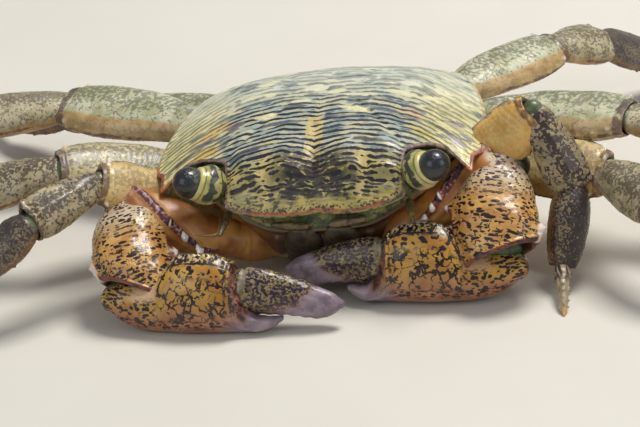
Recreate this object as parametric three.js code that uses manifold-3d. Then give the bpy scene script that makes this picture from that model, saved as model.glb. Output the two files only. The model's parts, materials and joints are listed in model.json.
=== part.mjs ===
// A striped shore crab at life size, standing with both claws folded in front of its mouth.
// Millimetres, +Z up, the floor at z = 0. The crab faces -Y and its own left side is +X.
import * as THREE from "three";
import { mergeVertices } from "three/addons/utils/BufferGeometryUtils.js";
import Module from "manifold-3d";

const wasm = await Module();
wasm.setup();

// Driving dimensions.
const JOINT_GAP = 0.3; // clearance between two plates that meet
const ROUGH_GAP = 0.7; // the same for the coarser shapes that keep limbs clear of one another
const FRONT_HEIGHT = 12.4; // the front margin's reference point above the floor
const FRONT_Y = -14.5; // that point ahead of the middle of the body
const BODY_LEAN = 3.5; // degrees, the left side carried higher
const HALF_WIDTH = 17.5; // half the width of the back
const CROWN_Y = 16; // the highest part of the back, behind the front margin
const CROWN_HEIGHT = 5.2; // its height above the reference point
const SHELL_THICKNESS = 0.8; // of the back at its rim
const BELLY_LEVEL = -10.2; // the sternum below the reference point
const TIP_SINK = 0.2; // how far a rounded tip is pressed into the floor before it is cut flat
const RIM_STEPS = 3; // points on each curved stretch of the rim

const deg = THREE.MathUtils.degToRad;
const vec = (x, y, z) => new THREE.Vector3(x, y, z);

// ---- Making solids ----

// A solid from a closed triangle skin, turned right side out if the skin was mirrored.
function solidOf(geometry) {
  const merged = mergeVertices(geometry, 1e-3);
  const vertProperties = new Float32Array(merged.attributes.position.array);
  const build = (triVerts) => new wasm.Manifold(new wasm.Mesh({ numProp: 3, vertProperties, triVerts }));
  const solid = build(new Uint32Array(merged.index.array));
  if (solid.volume() > 0) return solid;
  return build(new Uint32Array(merged.index.array).reverse());
}

// A sphere's grid with each vertex moved to place(turn, row): turn runs 0..1 round, row from pole to pole.
function closedSkin(place, around, rows) {
  const geometry = new THREE.SphereGeometry(1, around, rows);
  const position = geometry.getAttribute("position");
  const uv = geometry.getAttribute("uv");
  for (let i = 0; i < position.count; i++) {
    const step = Math.round(uv.getX(i) * around) % around;
    const row = Math.round((1 - uv.getY(i)) * rows);
    const p = place(row === 0 || row === rows ? 0 : step / around, row);
    position.setXYZ(i, p.x, p.y, p.z);
  }
  geometry.deleteAttribute("normal");
  geometry.deleteAttribute("uv");
  return solidOf(geometry);
}

// The largest body of a solid, as a cut can leave crumbs.
const largest = (solid) => solid.decompose().reduce((a, b) => (b.volume() > a.volume() ? b : a));
const cut = (solid, ...tools) => largest(tools.reduce((left, tool) => left.subtract(tool), solid));
const onFloor = (solid) => largest(solid.trimByPlane([0, 0, 1], 0));

const root = new THREE.Group();
const crab = new THREE.Group();
root.add(crab);

function addNode(name, solid, material) {
  const { numProp, vertProperties, triVerts } = solid.getMesh();
  const interleaved = new THREE.InterleavedBuffer(vertProperties, numProp);
  const geometry = new THREE.BufferGeometry();
  geometry.setAttribute("position", new THREE.InterleavedBufferAttribute(interleaved, 3, 0));
  geometry.setIndex(new THREE.BufferAttribute(triVerts, 1));
  const flat = geometry.toNonIndexed();
  flat.computeVertexNormals();
  const mesh = new THREE.Mesh(flat, material);
  mesh.name = name;
  crab.add(mesh);
}

const finish = (color, roughness) => new THREE.MeshStandardMaterial({ color, roughness, metalness: 0 });
const materials = {
  back: finish(0x8f9455, 0.3),
  claw: finish(0xc98f3f, 0.32),
  leg: finish(0x9b9a63, 0.38),
  belly: finish(0xcf9a55, 0.45),
  eye: finish(0x2b322f, 0.1),
  stalk: finish(0xa8a252, 0.35),
  mouth: finish(0x8b6a3c, 0.45),
};

// ---- The body's own frame: x to the crab's left, y back from the front margin, z up ----

const body = new THREE.Group();
body.position.set(0, FRONT_Y, FRONT_HEIGHT);
body.rotation.y = -deg(BODY_LEAN);
body.updateMatrix();
const inBody = (x, y, z) => vec(x, y, z).applyMatrix4(body.matrix);

// Low swellings of the back: [x, y, spread, height], over the stomach, the heart, the gills and the front.
const swellings = [
  [0, 11, 5.5, 0.35],
  [0, 20.5, 3.6, 0.3],
  [9.5, 17, 4.5, 0.4],
  [3.0, 3.6, 2.2, 0.45],
  [7.4, 3.9, 2.0, 0.4],
];

// The height of the back over the reference point: a crown that falls to the sides, the front and the rear.
function backHeight(x, y) {
  const side = 3.3 * (Math.abs(x) / HALF_WIDTH) ** 2.6;
  const outward = THREE.MathUtils.smoothstep(Math.abs(x), 9, 15);
  const front = 7.2 * Math.exp(-(y + 0.4) / 4) * (1 - 0.45 * outward);
  const rear = 4.3 * (Math.max(y - CROWN_Y, 0) / 12.6) ** 2.2;
  const swelling = swellings.reduce((sum, [sx, sy, spread, height]) => {
    const squared = ((Math.abs(x) - sx) ** 2 + (y - sy) ** 2) / spread ** 2;
    return sum + height * Math.exp(-squared);
  }, 0);
  return CROWN_HEIGHT - side - front - rear + swelling;
}

// The inner face of the back, its thickness kept where the back is steep.
function innerHeight(x, y, thickness) {
  const step = 0.1;
  const alongX = (backHeight(x + step, y) - backHeight(x - step, y)) / (2 * step);
  const alongY = (backHeight(x, y + step) - backHeight(x, y - step)) / (2 * step);
  return backHeight(x, y) - thickness * Math.min(Math.hypot(1, alongX, alongY), 1.35);
}

// The left half of the back's outline, from the middle of the front margin to the middle of the hind margin.
function halfRim() {
  const point = (x, y) => new THREE.Vector2(x, y);
  const frontCorner = point(9.6, 0.5);
  const orbitInner = point(9.6, 4.0);
  const orbitOuter = point(14.2, 4.3);
  const orbitalTooth = point(16.7, 2.4);
  const notch = point(16.8, 4.4);
  const sideTooth = point(17.6, 5.2);
  const flank = point(17.45, 11.5);
  const shoulder = point(15.4, 19.0);
  const hindCorner = point(10.6, 26.0);
  const hindMiddle = point(0, 28.6);
  const rim = new THREE.CurvePath();
  rim.add(new THREE.QuadraticBezierCurve(point(0, -0.4), point(6.4, -0.8), frontCorner));
  rim.add(new THREE.QuadraticBezierCurve(frontCorner, point(9.3, 2.0), orbitInner));
  rim.add(new THREE.QuadraticBezierCurve(orbitInner, point(11.8, 5.4), orbitOuter));
  rim.add(new THREE.LineCurve(orbitOuter, orbitalTooth));
  rim.add(new THREE.LineCurve(orbitalTooth, notch));
  rim.add(new THREE.LineCurve(notch, sideTooth));
  rim.add(new THREE.QuadraticBezierCurve(sideTooth, point(18.0, 8.0), flank));
  rim.add(new THREE.QuadraticBezierCurve(flank, point(17.0, 15.4), shoulder));
  rim.add(new THREE.QuadraticBezierCurve(shoulder, point(13.8, 23.4), hindCorner));
  rim.add(new THREE.QuadraticBezierCurve(hindCorner, point(7.6, 28.9), hindMiddle));
  return rim.getPoints(RIM_STEPS);
}

const leftRim = halfRim();
const rightRim = leftRim.slice(1, -1).reverse();
const rim = [...leftRim, ...rightRim.map((p) => new THREE.Vector2(-p.x, p.y))];

// The back: its outer face from the crown to the rim, then its inner face to the middle again.
function backSolid() {
  const outer = [0, 0.3, 0.52, 0.7, 0.84, 0.94, 1];
  const inner = [0.98, 0.7, 0];
  const shares = [...outer, ...inner];
  const thickness = (share) => SHELL_THICKNESS * (1 - 0.4 * share ** 8);
  const place = (turn, row) => {
    const edge = rim[Math.round(turn * rim.length) % rim.length];
    const x = edge.x * shares[row];
    const y = CROWN_Y + (edge.y - CROWN_Y) * shares[row];
    const z = row < outer.length ? backHeight(x, y) : innerHeight(x, y, thickness(shares[row]));
    return inBody(x, y, z);
  };
  return closedSkin(place, rim.length, shares.length - 1);
}

// A point of an oval with squared corners, the angle measured from +x in turns.
function oval(turn, halfX, halfY, power) {
  const round = (v) => Math.sign(v) * Math.abs(v) ** (2 / power);
  const c = Math.cos(2 * Math.PI * turn);
  const s = Math.sin(2 * Math.PI * turn);
  return new THREE.Vector2(halfX * round(c), halfY * round(s));
}

// The body under the back: a flat lid against the back's inner face, walls drawn in to the sternum.
const wall = [
  // [half width, front, rear, share of the drop]
  [15.9, 1.9, 26.6, 0],
  [15.7, 1.5, 26.4, 0.14],
  [14.6, 1.3, 26.0, 0.32],
  [12.9, 1.4, 25.2, 0.52],
  [11.2, 2.0, 24.2, 0.72],
  [9.8, 3.2, 22.8, 0.9],
  [8.4, 5.0, 21.2, 1],
];

function bellySolid(grow) {
  const lid = [0, 0.5, 0.85];
  const rows = lid.length + wall.length;
  const bottom = BELLY_LEVEL - grow;
  const lidHeight = (x, y) => innerHeight(x, y, SHELL_THICKNESS + JOINT_GAP);
  const ringPoint = (turn, [halfWidth, front, rear], share = 1) => {
    const p = oval(turn, (halfWidth + grow) * share, ((rear - front) / 2 + grow) * share, 2.5);
    return p.add(new THREE.Vector2(0, (rear + front) / 2));
  };
  const place = (turn, row) => {
    if (row === rows) return inBody(0, 13, bottom - 0.2);
    const top = ringPoint(turn, wall[0], lid[row]);
    if (row < lid.length) return inBody(top.x, top.y, lidHeight(top.x, top.y));
    const p = ringPoint(turn, wall[row - lid.length]);
    const edge = lidHeight(top.x, top.y);
    return inBody(p.x, p.y, edge + (bottom - edge) * wall[row - lid.length][3]);
  };
  return closedSkin(place, 20, rows);
}

// ---- Limbs ----

// The frame of a plate between two points: d along it, b across its broad side, n through its thin side.
function plateFrame(from, to, broadside) {
  const d = to.clone().sub(from).normalize();
  const b = broadside.clone().addScaledVector(d, -broadside.dot(d)).normalize();
  return { from, d, b, n: d.clone().cross(b), length: from.distanceTo(to) };
}

// The rings of a plate, from stations [share of the length, half breadth, half depth, across, through].
function plateRings(stations, count) {
  const curveOf = (points) => new THREE.CatmullRomCurve3(points, false, "catmullrom", 0.4);
  const smooth = (points) => curveOf(points).getPoints(count - 1);
  const sizes = smooth(stations.map(([t, w, h]) => vec(t, w, h)));
  const shifts = smooth(stations.map(([t, , , across = 0, through = 0]) => vec(t, across, through)));
  return sizes.map((p, i) => ({ t: p.x, w: p.y, h: p.z, across: shifts[i].y, through: shifts[i].z }));
}

// A plate lofted through its rings, each end closed by a low dome. grow makes it larger all round.
function plate(frame, stations, { around = 10, count = 6, grow = 0, power = 2.2, dome = 0.7 } = {}) {
  const rings = plateRings(stations, count);
  const domeShares = [0, Math.SQRT1_2];
  const rows = count + 2 * domeShares.length - 1;
  const place = (turn, row) => {
    const fromEnd = Math.min(row, rows - row);
    const ring = rings[THREE.MathUtils.clamp(row - domeShares.length, 0, count - 1)];
    const share = fromEnd < domeShares.length ? domeShares[fromEnd] : 1;
    const depth = dome * Math.min(ring.w, ring.h) + grow;
    const push = (row < rows / 2 ? -1 : 1) * depth * Math.sqrt(1 - share * share);
    const p = oval(turn, (ring.w + grow) * share, (ring.h + grow) * share, power);
    return frame.from
      .clone()
      .addScaledVector(frame.d, ring.t * frame.length + push)
      .addScaledVector(frame.b, ring.across + p.x)
      .addScaledVector(frame.n, ring.through + p.y);
  };
  return closedSkin(place, around, rows);
}

// Stations given in shares of a half breadth and a half depth, brought to millimetres.
function scaled(stations, breadth, depth) {
  const scale = [1, breadth, depth, breadth, depth];
  return stations.map((station) => station.map((value, i) => value * scale[i]));
}

// A unit vector from a bearing about +Z (0 along +X) and an elevation, in degrees.
function heading(bearing, elevation) {
  const level = Math.cos(deg(elevation));
  return vec(level * Math.cos(deg(bearing)), level * Math.sin(deg(bearing)), Math.sin(deg(elevation)));
}

// ---- Walking legs ----

// Lengths, and the half breadth and half depth of the merus, for the second to the fifth pair of legs.
const legSizes = {
  2: { merus: 15.2, carpus: 9.4, propodus: 8.0, dactyl: 7.2, breadth: 2.9, depth: 1.6 },
  3: { merus: 18.3, carpus: 9.5, propodus: 12, dactyl: 9.5, breadth: 3.4, depth: 1.7 },
  4: { merus: 21.5, carpus: 10, propodus: 13.5, dactyl: 10, breadth: 3.8, depth: 1.8 },
  5: { merus: 19.2, carpus: 8, propodus: 10.5, dactyl: 8, breadth: 3.3, depth: 1.6 },
};

// Where each leg leaves the body, in the body's frame, for the left side: the rear pairs sit higher.
const hips = {
  2: [12.2, 8.4, -6.0],
  3: [13.4, 14.2, -3.8],
  4: [12.8, 20.3, -1.4],
  5: [10.0, 24.8, -1.6],
};

// The pose: [bearing, elevation] of merus, carpus and propodus, the dactyl's bearing, and how far the leg's
// broad side leans back from upright.
const legPoses = {
  leg2_left: { merus: [-9, 45], carpus: [-19, -65], propodus: [-107, -60], dactyl: -85, lean: 12 },
  leg2_right: { merus: [-150, 28], carpus: [-132, -9], propodus: [-159, -36], dactyl: -150, lean: 45 },
  leg3_left: { merus: [-23, 3], carpus: [-54, 1], propodus: [-25, -26], dactyl: -30, lean: 50 },
  leg3_right: { merus: [-153, 14], carpus: [-178, -14], propodus: [-165, -20], dactyl: -165, lean: 60 },
  leg4_left: { merus: [-21, 7], carpus: [-5, -10], propodus: [-5, -30], dactyl: -8, lean: 80 },
  leg4_right: { merus: [161, 1], carpus: [189, -4], propodus: [178, -24], dactyl: 180, lean: 72 },
  leg5_left: { merus: [50, 0], carpus: [50, -16], propodus: [50, -28], dactyl: 50, lean: 78 },
  leg5_right: { merus: [158, -9], carpus: [156, -8], propodus: [150, -14], dactyl: 140, lean: 75 },
};

// Outlines in shares of the leg's half breadth and half depth.
const merusOutline = [
  [0, 0.42, 0.62],
  [0.15, 0.55, 0.85],
  [0.45, 0.9, 1, 0.12],
  [0.75, 1, 1, 0.06],
  [0.93, 0.86, 0.95],
  [1, 0.66, 0.85],
];
const carpusOutline = [
  [0.02, 0.38, 0.62],
  [0.25, 0.56, 0.92],
  [0.6, 0.74, 1],
  [0.85, 0.72, 0.96],
  [0.97, 0.58, 0.8],
];
const propodusOutline = [
  [0.02, 0.44, 0.62],
  [0.2, 0.6, 0.86],
  [0.55, 0.6, 0.84],
  [0.88, 0.45, 0.7],
  [0.98, 0.36, 0.56],
];
const dactylOutline = [
  [0.02, 0.3, 0.46],
  [0.3, 0.27, 0.42, 0.12],
  [0.65, 0.19, 0.32, 0.12],
  [1, 0.1, 0.2, 0],
];

// Builds one walking leg: its plates, each cut clear of the next.
function walkingLeg(name, pose) {
  const pair = name[3];
  const size = legSizes[pair];
  const [hipX, hipY, hipZ] = hips[pair];
  const hip = inBody(name.endsWith("left") ? hipX : -hipX, hipY, hipZ);
  const knee = hip.clone().addScaledVector(heading(...pose.merus), size.merus);
  const wrist = knee.clone().addScaledVector(heading(...pose.carpus), size.carpus);
  const ankle = wrist.clone().addScaledVector(heading(...pose.propodus), size.propodus);
  const tipRadius = dactylOutline[3][1] * size.breadth;
  const drop = ankle.z - tipRadius + TIP_SINK;
  const elevation = THREE.MathUtils.radToDeg(Math.asin(-drop / size.dactyl));
  const tip = ankle.clone().addScaledVector(heading(pose.dactyl, elevation), size.dactyl);
  const broadside = vec(0, Math.sin(deg(pose.lean)), Math.cos(deg(pose.lean)));
  const points = [hip, knee, wrist, ankle, tip];
  const outlines = [merusOutline, carpusOutline, propodusOutline, dactylOutline];
  const arounds = [8, 8, 8, 6];
  const plates = outlines.map((outline, i) => (grow) => {
    const frame = plateFrame(points[i], points[i + 1], broadside);
    const stations = scaled(outline, size.breadth, size.depth);
    return plate(frame, stations, { around: arounds[i], count: i ? 4 : 5, grow });
  });
  const roughPlates = outlines.slice(0, 3).map((outline, i) => {
    const frame = plateFrame(points[i], points[i + 1], broadside);
    const stations = scaled(outline, size.breadth, size.depth);
    return plate(frame, stations, { around: 6, count: 3, grow: ROUGH_GAP });
  });
  return {
    merus: cut(plates[0](0), plates[1](JOINT_GAP)),
    carpus: cut(plates[1](0), plates[2](JOINT_GAP)),
    propodus: cut(plates[2](0), plates[3](JOINT_GAP)),
    dactyl: onFloor(plates[3](0)),
    clearance: roughPlates[0],
    reach: roughPlates[1].add(roughPlates[2]),
  };
}

// ---- Claws ----

// Joint points of each claw, and the direction of the broad side of its merus, carpus and palm.
const clawPoses = {
  claw_left: {
    shoulder: vec(8.4, -11.2, 6.0),
    elbow: vec(18.0, -8.2, 12.6),
    wrist: vec(19.6, -14.4, 5.4),
    heel: vec(21.4, -14.8, 4.2),
    palmEnd: vec(6.6, -15.2, 4.1),
    knuckle: vec(7.4, -14.9, 4.7),
    dactylTip: vec(-3.4, -14.2, 3.0),
    merusEdge: vec(0.4, -0.8, -0.45),
    carpusEdge: vec(1, 0.1, 0.12),
    palmTop: vec(0, 0.3, 1),
  },
  claw_right: {
    shoulder: vec(-9.0, -11.2, 5.0),
    elbow: vec(-20.2, -12.4, 9.9),
    wrist: vec(-19.6, -18.8, 3.8),
    heel: vec(-21.4, -20.4, 3.8),
    palmEnd: vec(-7.0, -21.4, 3.8),
    knuckle: vec(-7.6, -21.2, 4.5),
    dactylTip: vec(3.3, -21.3, 2.4),
    merusEdge: vec(-0.3, -0.85, -0.4),
    carpusEdge: vec(-1, 0, 0.1),
    palmTop: vec(0, 0.3, 1),
  },
};

const CLAW_HEIGHT = 4.15; // half the height of the palm
const CLAW_DEPTH = 2.8; // half the thickness of the palm
const FINGER_SHARE = 1.38; // heel to the fixed finger's tip, over heel to the end of the palm

const ischiumStations = [
  [0, 1.5, 1.6],
  [0.5, 1.9, 1.8],
  [1, 1.8, 1.6],
];
const clawMerusStations = [
  [0, 1.7, 1.6],
  [0.3, 2.4, 2.1],
  [0.7, 3.1, 2.5],
  [0.92, 3.0, 2.4],
  [1, 2.4, 2.0],
];
const clawCarpusStations = [
  [0, 2.0, 1.7],
  [0.2, 3.1, 2.6],
  [0.5, 4.4, 3.3],
  [0.8, 5.0, 3.3],
  [1, 4.3, 2.7],
];
// The palm and then the fixed finger: [share, half height, half thickness, shift up], in the claw's units.
const palmOutline = [
  [0, 0.36, 0.62, -0.2],
  [0.1, 0.6, 0.86, -0.24],
  [0.24, 0.84, 0.98, -0.12],
  [0.4, 1, 1, 0],
  [0.56, 1, 0.98, 0.02],
  [0.68, 0.93, 0.86, -0.02],
  [0.76, 0.5, 0.62, -0.46],
  [0.88, 0.32, 0.44, -0.58],
  [1, 0.14, 0.22, -0.42],
];
// The moving finger, curved down toward its blunt, spooned tip.
const clawDactylOutline = [
  [0, 0.48, 0.5, 0.04],
  [0.2, 0.52, 0.52, 0.1],
  [0.5, 0.42, 0.46, 0.08],
  [0.82, 0.3, 0.36, -0.02],
  [1, 0.24, 0.28, -0.1],
];

// Builds one claw limb: each segment cut clear of the next.
function claw(pose) {
  const hip = pose.shoulder.clone().lerp(pose.elbow, 0.22);
  const palmFrame = plateFrame(pose.heel, pose.palmEnd, pose.palmTop);
  palmFrame.length *= FINGER_SHARE;
  const palmStations = scaled(palmOutline, CLAW_HEIGHT, CLAW_DEPTH);
  const dactylStations = scaled(clawDactylOutline, CLAW_HEIGHT, CLAW_DEPTH);
  const ischiumFrame = plateFrame(pose.shoulder, hip, pose.merusEdge);
  const merusFrame = plateFrame(hip, pose.elbow, pose.merusEdge);
  const carpusFrame = plateFrame(pose.elbow, pose.wrist, pose.carpusEdge);
  const dactylFrame = plateFrame(pose.knuckle, pose.dactylTip, pose.palmTop);
  const ischium = (grow) => plate(ischiumFrame, ischiumStations, { around: 8, count: 3, grow });
  const merus = (grow) => plate(merusFrame, clawMerusStations, { around: 10, count: 4, grow });
  const carpus = (grow) => plate(carpusFrame, clawCarpusStations, { around: 12, count: 5, grow });
  const palm = plate(palmFrame, palmStations, { around: 12, count: 10, dome: 0.8 });
  const dactyl = (grow) => plate(dactylFrame, dactylStations, { around: 8, count: 5, grow });
  const rough = { around: 6, count: 3, grow: ROUGH_GAP };
  const roughIschium = plate(ischiumFrame, ischiumStations, rough);
  const roughMerus = plate(merusFrame, clawMerusStations, rough);
  const roughCarpus = plate(carpusFrame, clawCarpusStations, rough);
  return {
    ischium: cut(ischium(0), merus(JOINT_GAP)),
    merus: cut(merus(0), carpus(JOINT_GAP)),
    carpus: carpus(0),
    palm: cut(onFloor(palm), carpus(JOINT_GAP), dactyl(JOINT_GAP), ischium(JOINT_GAP)),
    dactyl: dactyl(0),
    clearance: roughMerus.add(roughIschium),
    reach: roughCarpus,
  };
}

// ---- Building the crab ----

const back = backSolid();
const backClearance = back.add(back.translate(0, 0, -JOINT_GAP));
const across = inBody(1, 0, 0).sub(inBody(0, 0, 0));
const upward = inBody(0, 0, 1).sub(inBody(0, 0, 0));

// A small plate of the body, between two points of the body's frame.
function bodyPlate(from, to, broadside, stations, options) {
  const frame = plateFrame(inBody(...from), inBody(...to), broadside);
  return (grow) => plate(frame, stations, { ...options, grow });
}

const eyeStations = [
  [0, 1.5, 1.45],
  [0.5, 1.65, 1.6],
  [1, 1.4, 1.35],
];
const stalkStations = [
  [0, 1.35, 1.3],
  [0.5, 1.55, 1.5],
  [1, 1.5, 1.45],
];
const orbitStations = [
  [0, 1.9, 1.9],
  [1, 2.3, 2.3],
];
const antennaStations = [
  [0, 0.6, 0.6],
  [0.4, 0.5, 0.5],
  [1, 0.28, 0.28],
];
const antennuleStations = [
  [0, 0.5, 0.5],
  [0.5, 0.7, 0.7],
  [1, 0.5, 0.5],
];
const maxillipedStations = [
  [0, 1.5, 0.5],
  [0.2, 2.1, 0.6],
  [0.6, 2.1, 0.7],
  [1, 1.2, 0.5],
];
// The abdomen curves under the body: [share, half width, half thickness, shift across, shift up].
const abdomenStations = [
  [0, 3.3, 0.5, 0, 4.6],
  [0.1, 3.5, 0.55, 0, 2.2],
  [0.22, 3.4, 0.55, 0, 0.7],
  [0.4, 2.9, 0.5, 0, 0],
  [0.75, 2.0, 0.5, 0, 0],
  [1, 1.0, 0.45, 0, 0],
];

let belly = cut(bellySolid(0), backClearance);
const bellyClearance = bellySolid(JOINT_GAP);
const flatPlate = { around: 8, count: 6 };
const abdomen = bodyPlate([0, 24.8, -10.9], [0, 8.4, -10.9], across, abdomenStations, flatPlate);
addNode("abdomen", cut(abdomen(0), bellyClearance), materials.belly);

for (const [side, s] of Object.entries({ left: 1, right: -1 })) {
  const round = { around: 8, count: 3, power: 2 };
  const thin = { around: 6, count: 3, power: 2 };
  const orbit = { around: 6, count: 2, power: 2 };
  const socket = [s * 9.4, 3.4, -0.3];
  const stalkEnd = [s * 12.5, 1.4, 1.3];
  const eyeEnd = [s * 13.85, 0.45, 2.0];
  const eye = bodyPlate([s * 12.75, 1.2, 1.5], eyeEnd, upward, eyeStations, round);
  const stalk = bodyPlate([s * 10.0, 3.0, 0.0], stalkEnd, upward, stalkStations, round);
  const antenna = bodyPlate([s * 9.9, 1.6, -3.0], [s * 10.4, -0.9, -3.8], upward, antennaStations, thin);
  const antennule = bodyPlate([s * 1.6, 0.6, -4.2], [s * 4.6, 0.6, -3.9], upward, antennuleStations, thin);
  const maxilliped = bodyPlate([s * 2.5, 1.1, -5.4], [s * 2.0, 3.6, -9.9], across, maxillipedStations, thin);
  belly = cut(belly, bodyPlate(socket, eyeEnd, upward, orbitStations, orbit)(0));
  addNode(`eye_${side}`, cut(eye(0), backClearance), materials.eye);
  addNode(`eyestalk_${side}`, cut(stalk(0), eye(JOINT_GAP / 2), backClearance), materials.stalk);
  addNode(`antenna_${side}`, cut(antenna(0), bellyClearance, stalk(JOINT_GAP)), materials.stalk);
  addNode(`antennule_${side}`, cut(antennule(0), bellyClearance), materials.mouth);
  addNode(`maxilliped_${side}`, cut(maxilliped(0), bellyClearance), materials.mouth);
}

const limbs = {};
for (const [name, pose] of Object.entries(clawPoses)) limbs[name] = claw(pose);
for (const [name, pose] of Object.entries(legPoses)) limbs[name] = walkingLeg(name, pose);
belly = cut(belly, limbs.claw_left.clearance, limbs.claw_right.clearance);

// Each merus clears the back, the body and the limbs ahead of it on its own side.
const inOrder = ["claw", "leg2", "leg3", "leg4", "leg5"];
for (const [name, limb] of Object.entries(limbs)) {
  const [kind, side] = name.split("_");
  const ahead = inOrder.slice(0, inOrder.indexOf(kind)).map((other) => limbs[`${other}_${side}`]);
  const tools = ahead.flatMap(({ clearance, reach }) => [clearance, reach]);
  if (kind !== "claw") tools.push(bellyClearance);
  limb.merus = cut(limb.merus, backClearance, ...tools);
}

addNode("carapace", back, materials.back);
addNode("body_underside", belly, materials.belly);
for (const [name, { clearance, reach, ...segments }] of Object.entries(limbs)) {
  const material = name.startsWith("claw") ? materials.claw : materials.leg;
  for (const [segment, solid] of Object.entries(segments)) addNode(`${name}_${segment}`, solid, material);
}

// The origin stands on the floor under the middle of the whole crab.
const extent = new THREE.Box3().setFromObject(crab, true);
const middle = extent.getCenter(vec(0, 0, 0));
crab.position.set(-middle.x, -middle.y, -extent.min.z);

export default root;
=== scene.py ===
import json
import math

import bpy
import numpy as np
from mathutils import Matrix, Vector

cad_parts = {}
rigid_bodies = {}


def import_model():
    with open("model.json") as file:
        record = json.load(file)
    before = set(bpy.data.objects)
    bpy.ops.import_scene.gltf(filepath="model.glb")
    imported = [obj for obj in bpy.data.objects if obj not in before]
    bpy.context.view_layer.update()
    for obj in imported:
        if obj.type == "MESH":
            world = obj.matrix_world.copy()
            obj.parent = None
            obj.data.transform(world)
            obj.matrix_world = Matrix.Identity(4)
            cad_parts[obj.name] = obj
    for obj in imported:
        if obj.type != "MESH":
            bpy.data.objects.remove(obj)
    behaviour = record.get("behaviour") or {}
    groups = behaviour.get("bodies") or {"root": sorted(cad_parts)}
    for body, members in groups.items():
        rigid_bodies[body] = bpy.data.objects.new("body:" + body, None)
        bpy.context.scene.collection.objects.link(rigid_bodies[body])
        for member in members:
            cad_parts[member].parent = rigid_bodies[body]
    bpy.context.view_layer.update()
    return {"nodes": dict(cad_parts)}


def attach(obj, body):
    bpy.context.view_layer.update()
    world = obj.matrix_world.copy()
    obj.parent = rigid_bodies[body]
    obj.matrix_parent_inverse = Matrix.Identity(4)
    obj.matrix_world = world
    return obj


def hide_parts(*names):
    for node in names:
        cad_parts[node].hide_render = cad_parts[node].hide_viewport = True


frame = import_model()

# Every size below is in millimetres; meshes are written in metres.
mm = 0.001


def unit(v):  # a vector over its own length
    v = np.asarray(v, float)
    return v / np.linalg.norm(v)


def smooth(x, low, high):  # 0 below low, 1 above high, an S curve between
    u = np.clip((x - low) / (high - low), 0, 1)
    return u * u * (3 - 2 * u)


def hump(x, centre, width):  # a bell curve 1 high
    return np.exp(-((x - centre) / width) ** 2)


def within(x, low, full, past, high):  # up from 0 to 1 between the first two, down between the last two
    return smooth(x, low, full) * (1 - smooth(x, past, high))


def stacked(*parts):  # numbers or arrays, spread to one shape and set side by side
    return np.stack(np.broadcast_arrays(*parts), -1)


# Each column of a table as a smooth curve of its first column: cubic pieces whose slopes are the
# means of the slopes on both sides, so that the curve passes through every row.
def curveThrough(x, table):
    table = np.asarray(table, float)
    knots, values = table[:, 0], table[:, 1:]
    step = np.diff(knots)
    rise = np.diff(values, axis=0) / step[:, None]
    slope = np.vstack([rise[:1], (rise[1:] + rise[:-1]) / 2, rise[-1:]])
    slope[1:-1][rise[1:] * rise[:-1] < 0] = 0
    i = np.clip(np.searchsorted(knots, x) - 1, 0, len(step) - 1)
    h = step[i][..., None]
    u = ((x - knots[i]) / step[i])[..., None]
    a, b = values[i], values[i + 1]
    return (a * (1 + 2 * u) * (1 - u) ** 2 + b * u * u * (3 - 2 * u)
            + slope[i] * h * u * (1 - u) ** 2 + slope[i + 1] * h * u * u * (u - 1))


# A smooth random field from -1 to 1: values on a grid of cells of this size, made from the cell's
# number with large primes, and blended between.
def wander(points, size, seed=0):
    q = np.asarray(points, float) / size + 31.7 * (seed + 1)
    cell = np.floor(q).astype(np.int64)
    f = q - cell
    f = f * f * (3 - 2 * f)
    total = np.zeros(q.shape[:-1])
    dims = q.shape[-1]
    primes = np.array([73856093, 19349663, 83492791])[:dims]
    for corner in range(2 ** dims):
        offset = np.array([(corner >> k) & 1 for k in range(dims)])
        h = ((cell + offset) * primes).sum(-1) & 0xFFFFFF
        h = (h ^ (h >> 7)) * 2654435761 & 0xFFFFFF
        weight = np.where(offset == 1, f, 1 - f).prod(-1)
        total += weight * (h / 0x7FFFFF - 1)
    return total


# A closed skin from rings of points, rows by around: each end ring is one pole, the rest are quads.
def closedSkin(grid, fields):
    rows, around = grid.shape[:2]
    order = np.arange((rows - 2) * around).reshape(rows - 2, around) + 1
    last = (rows - 2) * around + 1
    turned = np.roll(order, -1, axis=1)
    quads = stacked(order[:-1], turned[:-1], turned[1:], order[1:]).reshape(-1, 4)
    zero = np.zeros(around, int)
    first = stacked(zero, turned[0], order[0])
    final = stacked(zero + last, order[-1], turned[-1])
    pick = lambda a: np.concatenate([a[:1, 0], a[1:-1].reshape((-1,) + a.shape[2:]), a[-1:, 0]])
    return {"points": pick(grid), "quads": quads, "tris": np.concatenate([first, final]),
            "fields": {k: pick(v) for k, v in fields.items()}}


# Turns a skin right side out when the volume that it encloses comes out negative.
def faceOut(skin):
    p, q, t = skin["points"], skin["quads"], skin["tris"]
    tris = np.concatenate([q[:, [0, 1, 2]], q[:, [0, 2, 3]], t])
    a, b, c = p[tris[:, 0]], p[tris[:, 1]], p[tris[:, 2]]
    if np.einsum("ij,ij->i", a, np.cross(b, c)).sum() < 0:
        skin["quads"], skin["tris"] = q[:, ::-1], t[:, ::-1]
    return skin


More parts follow.
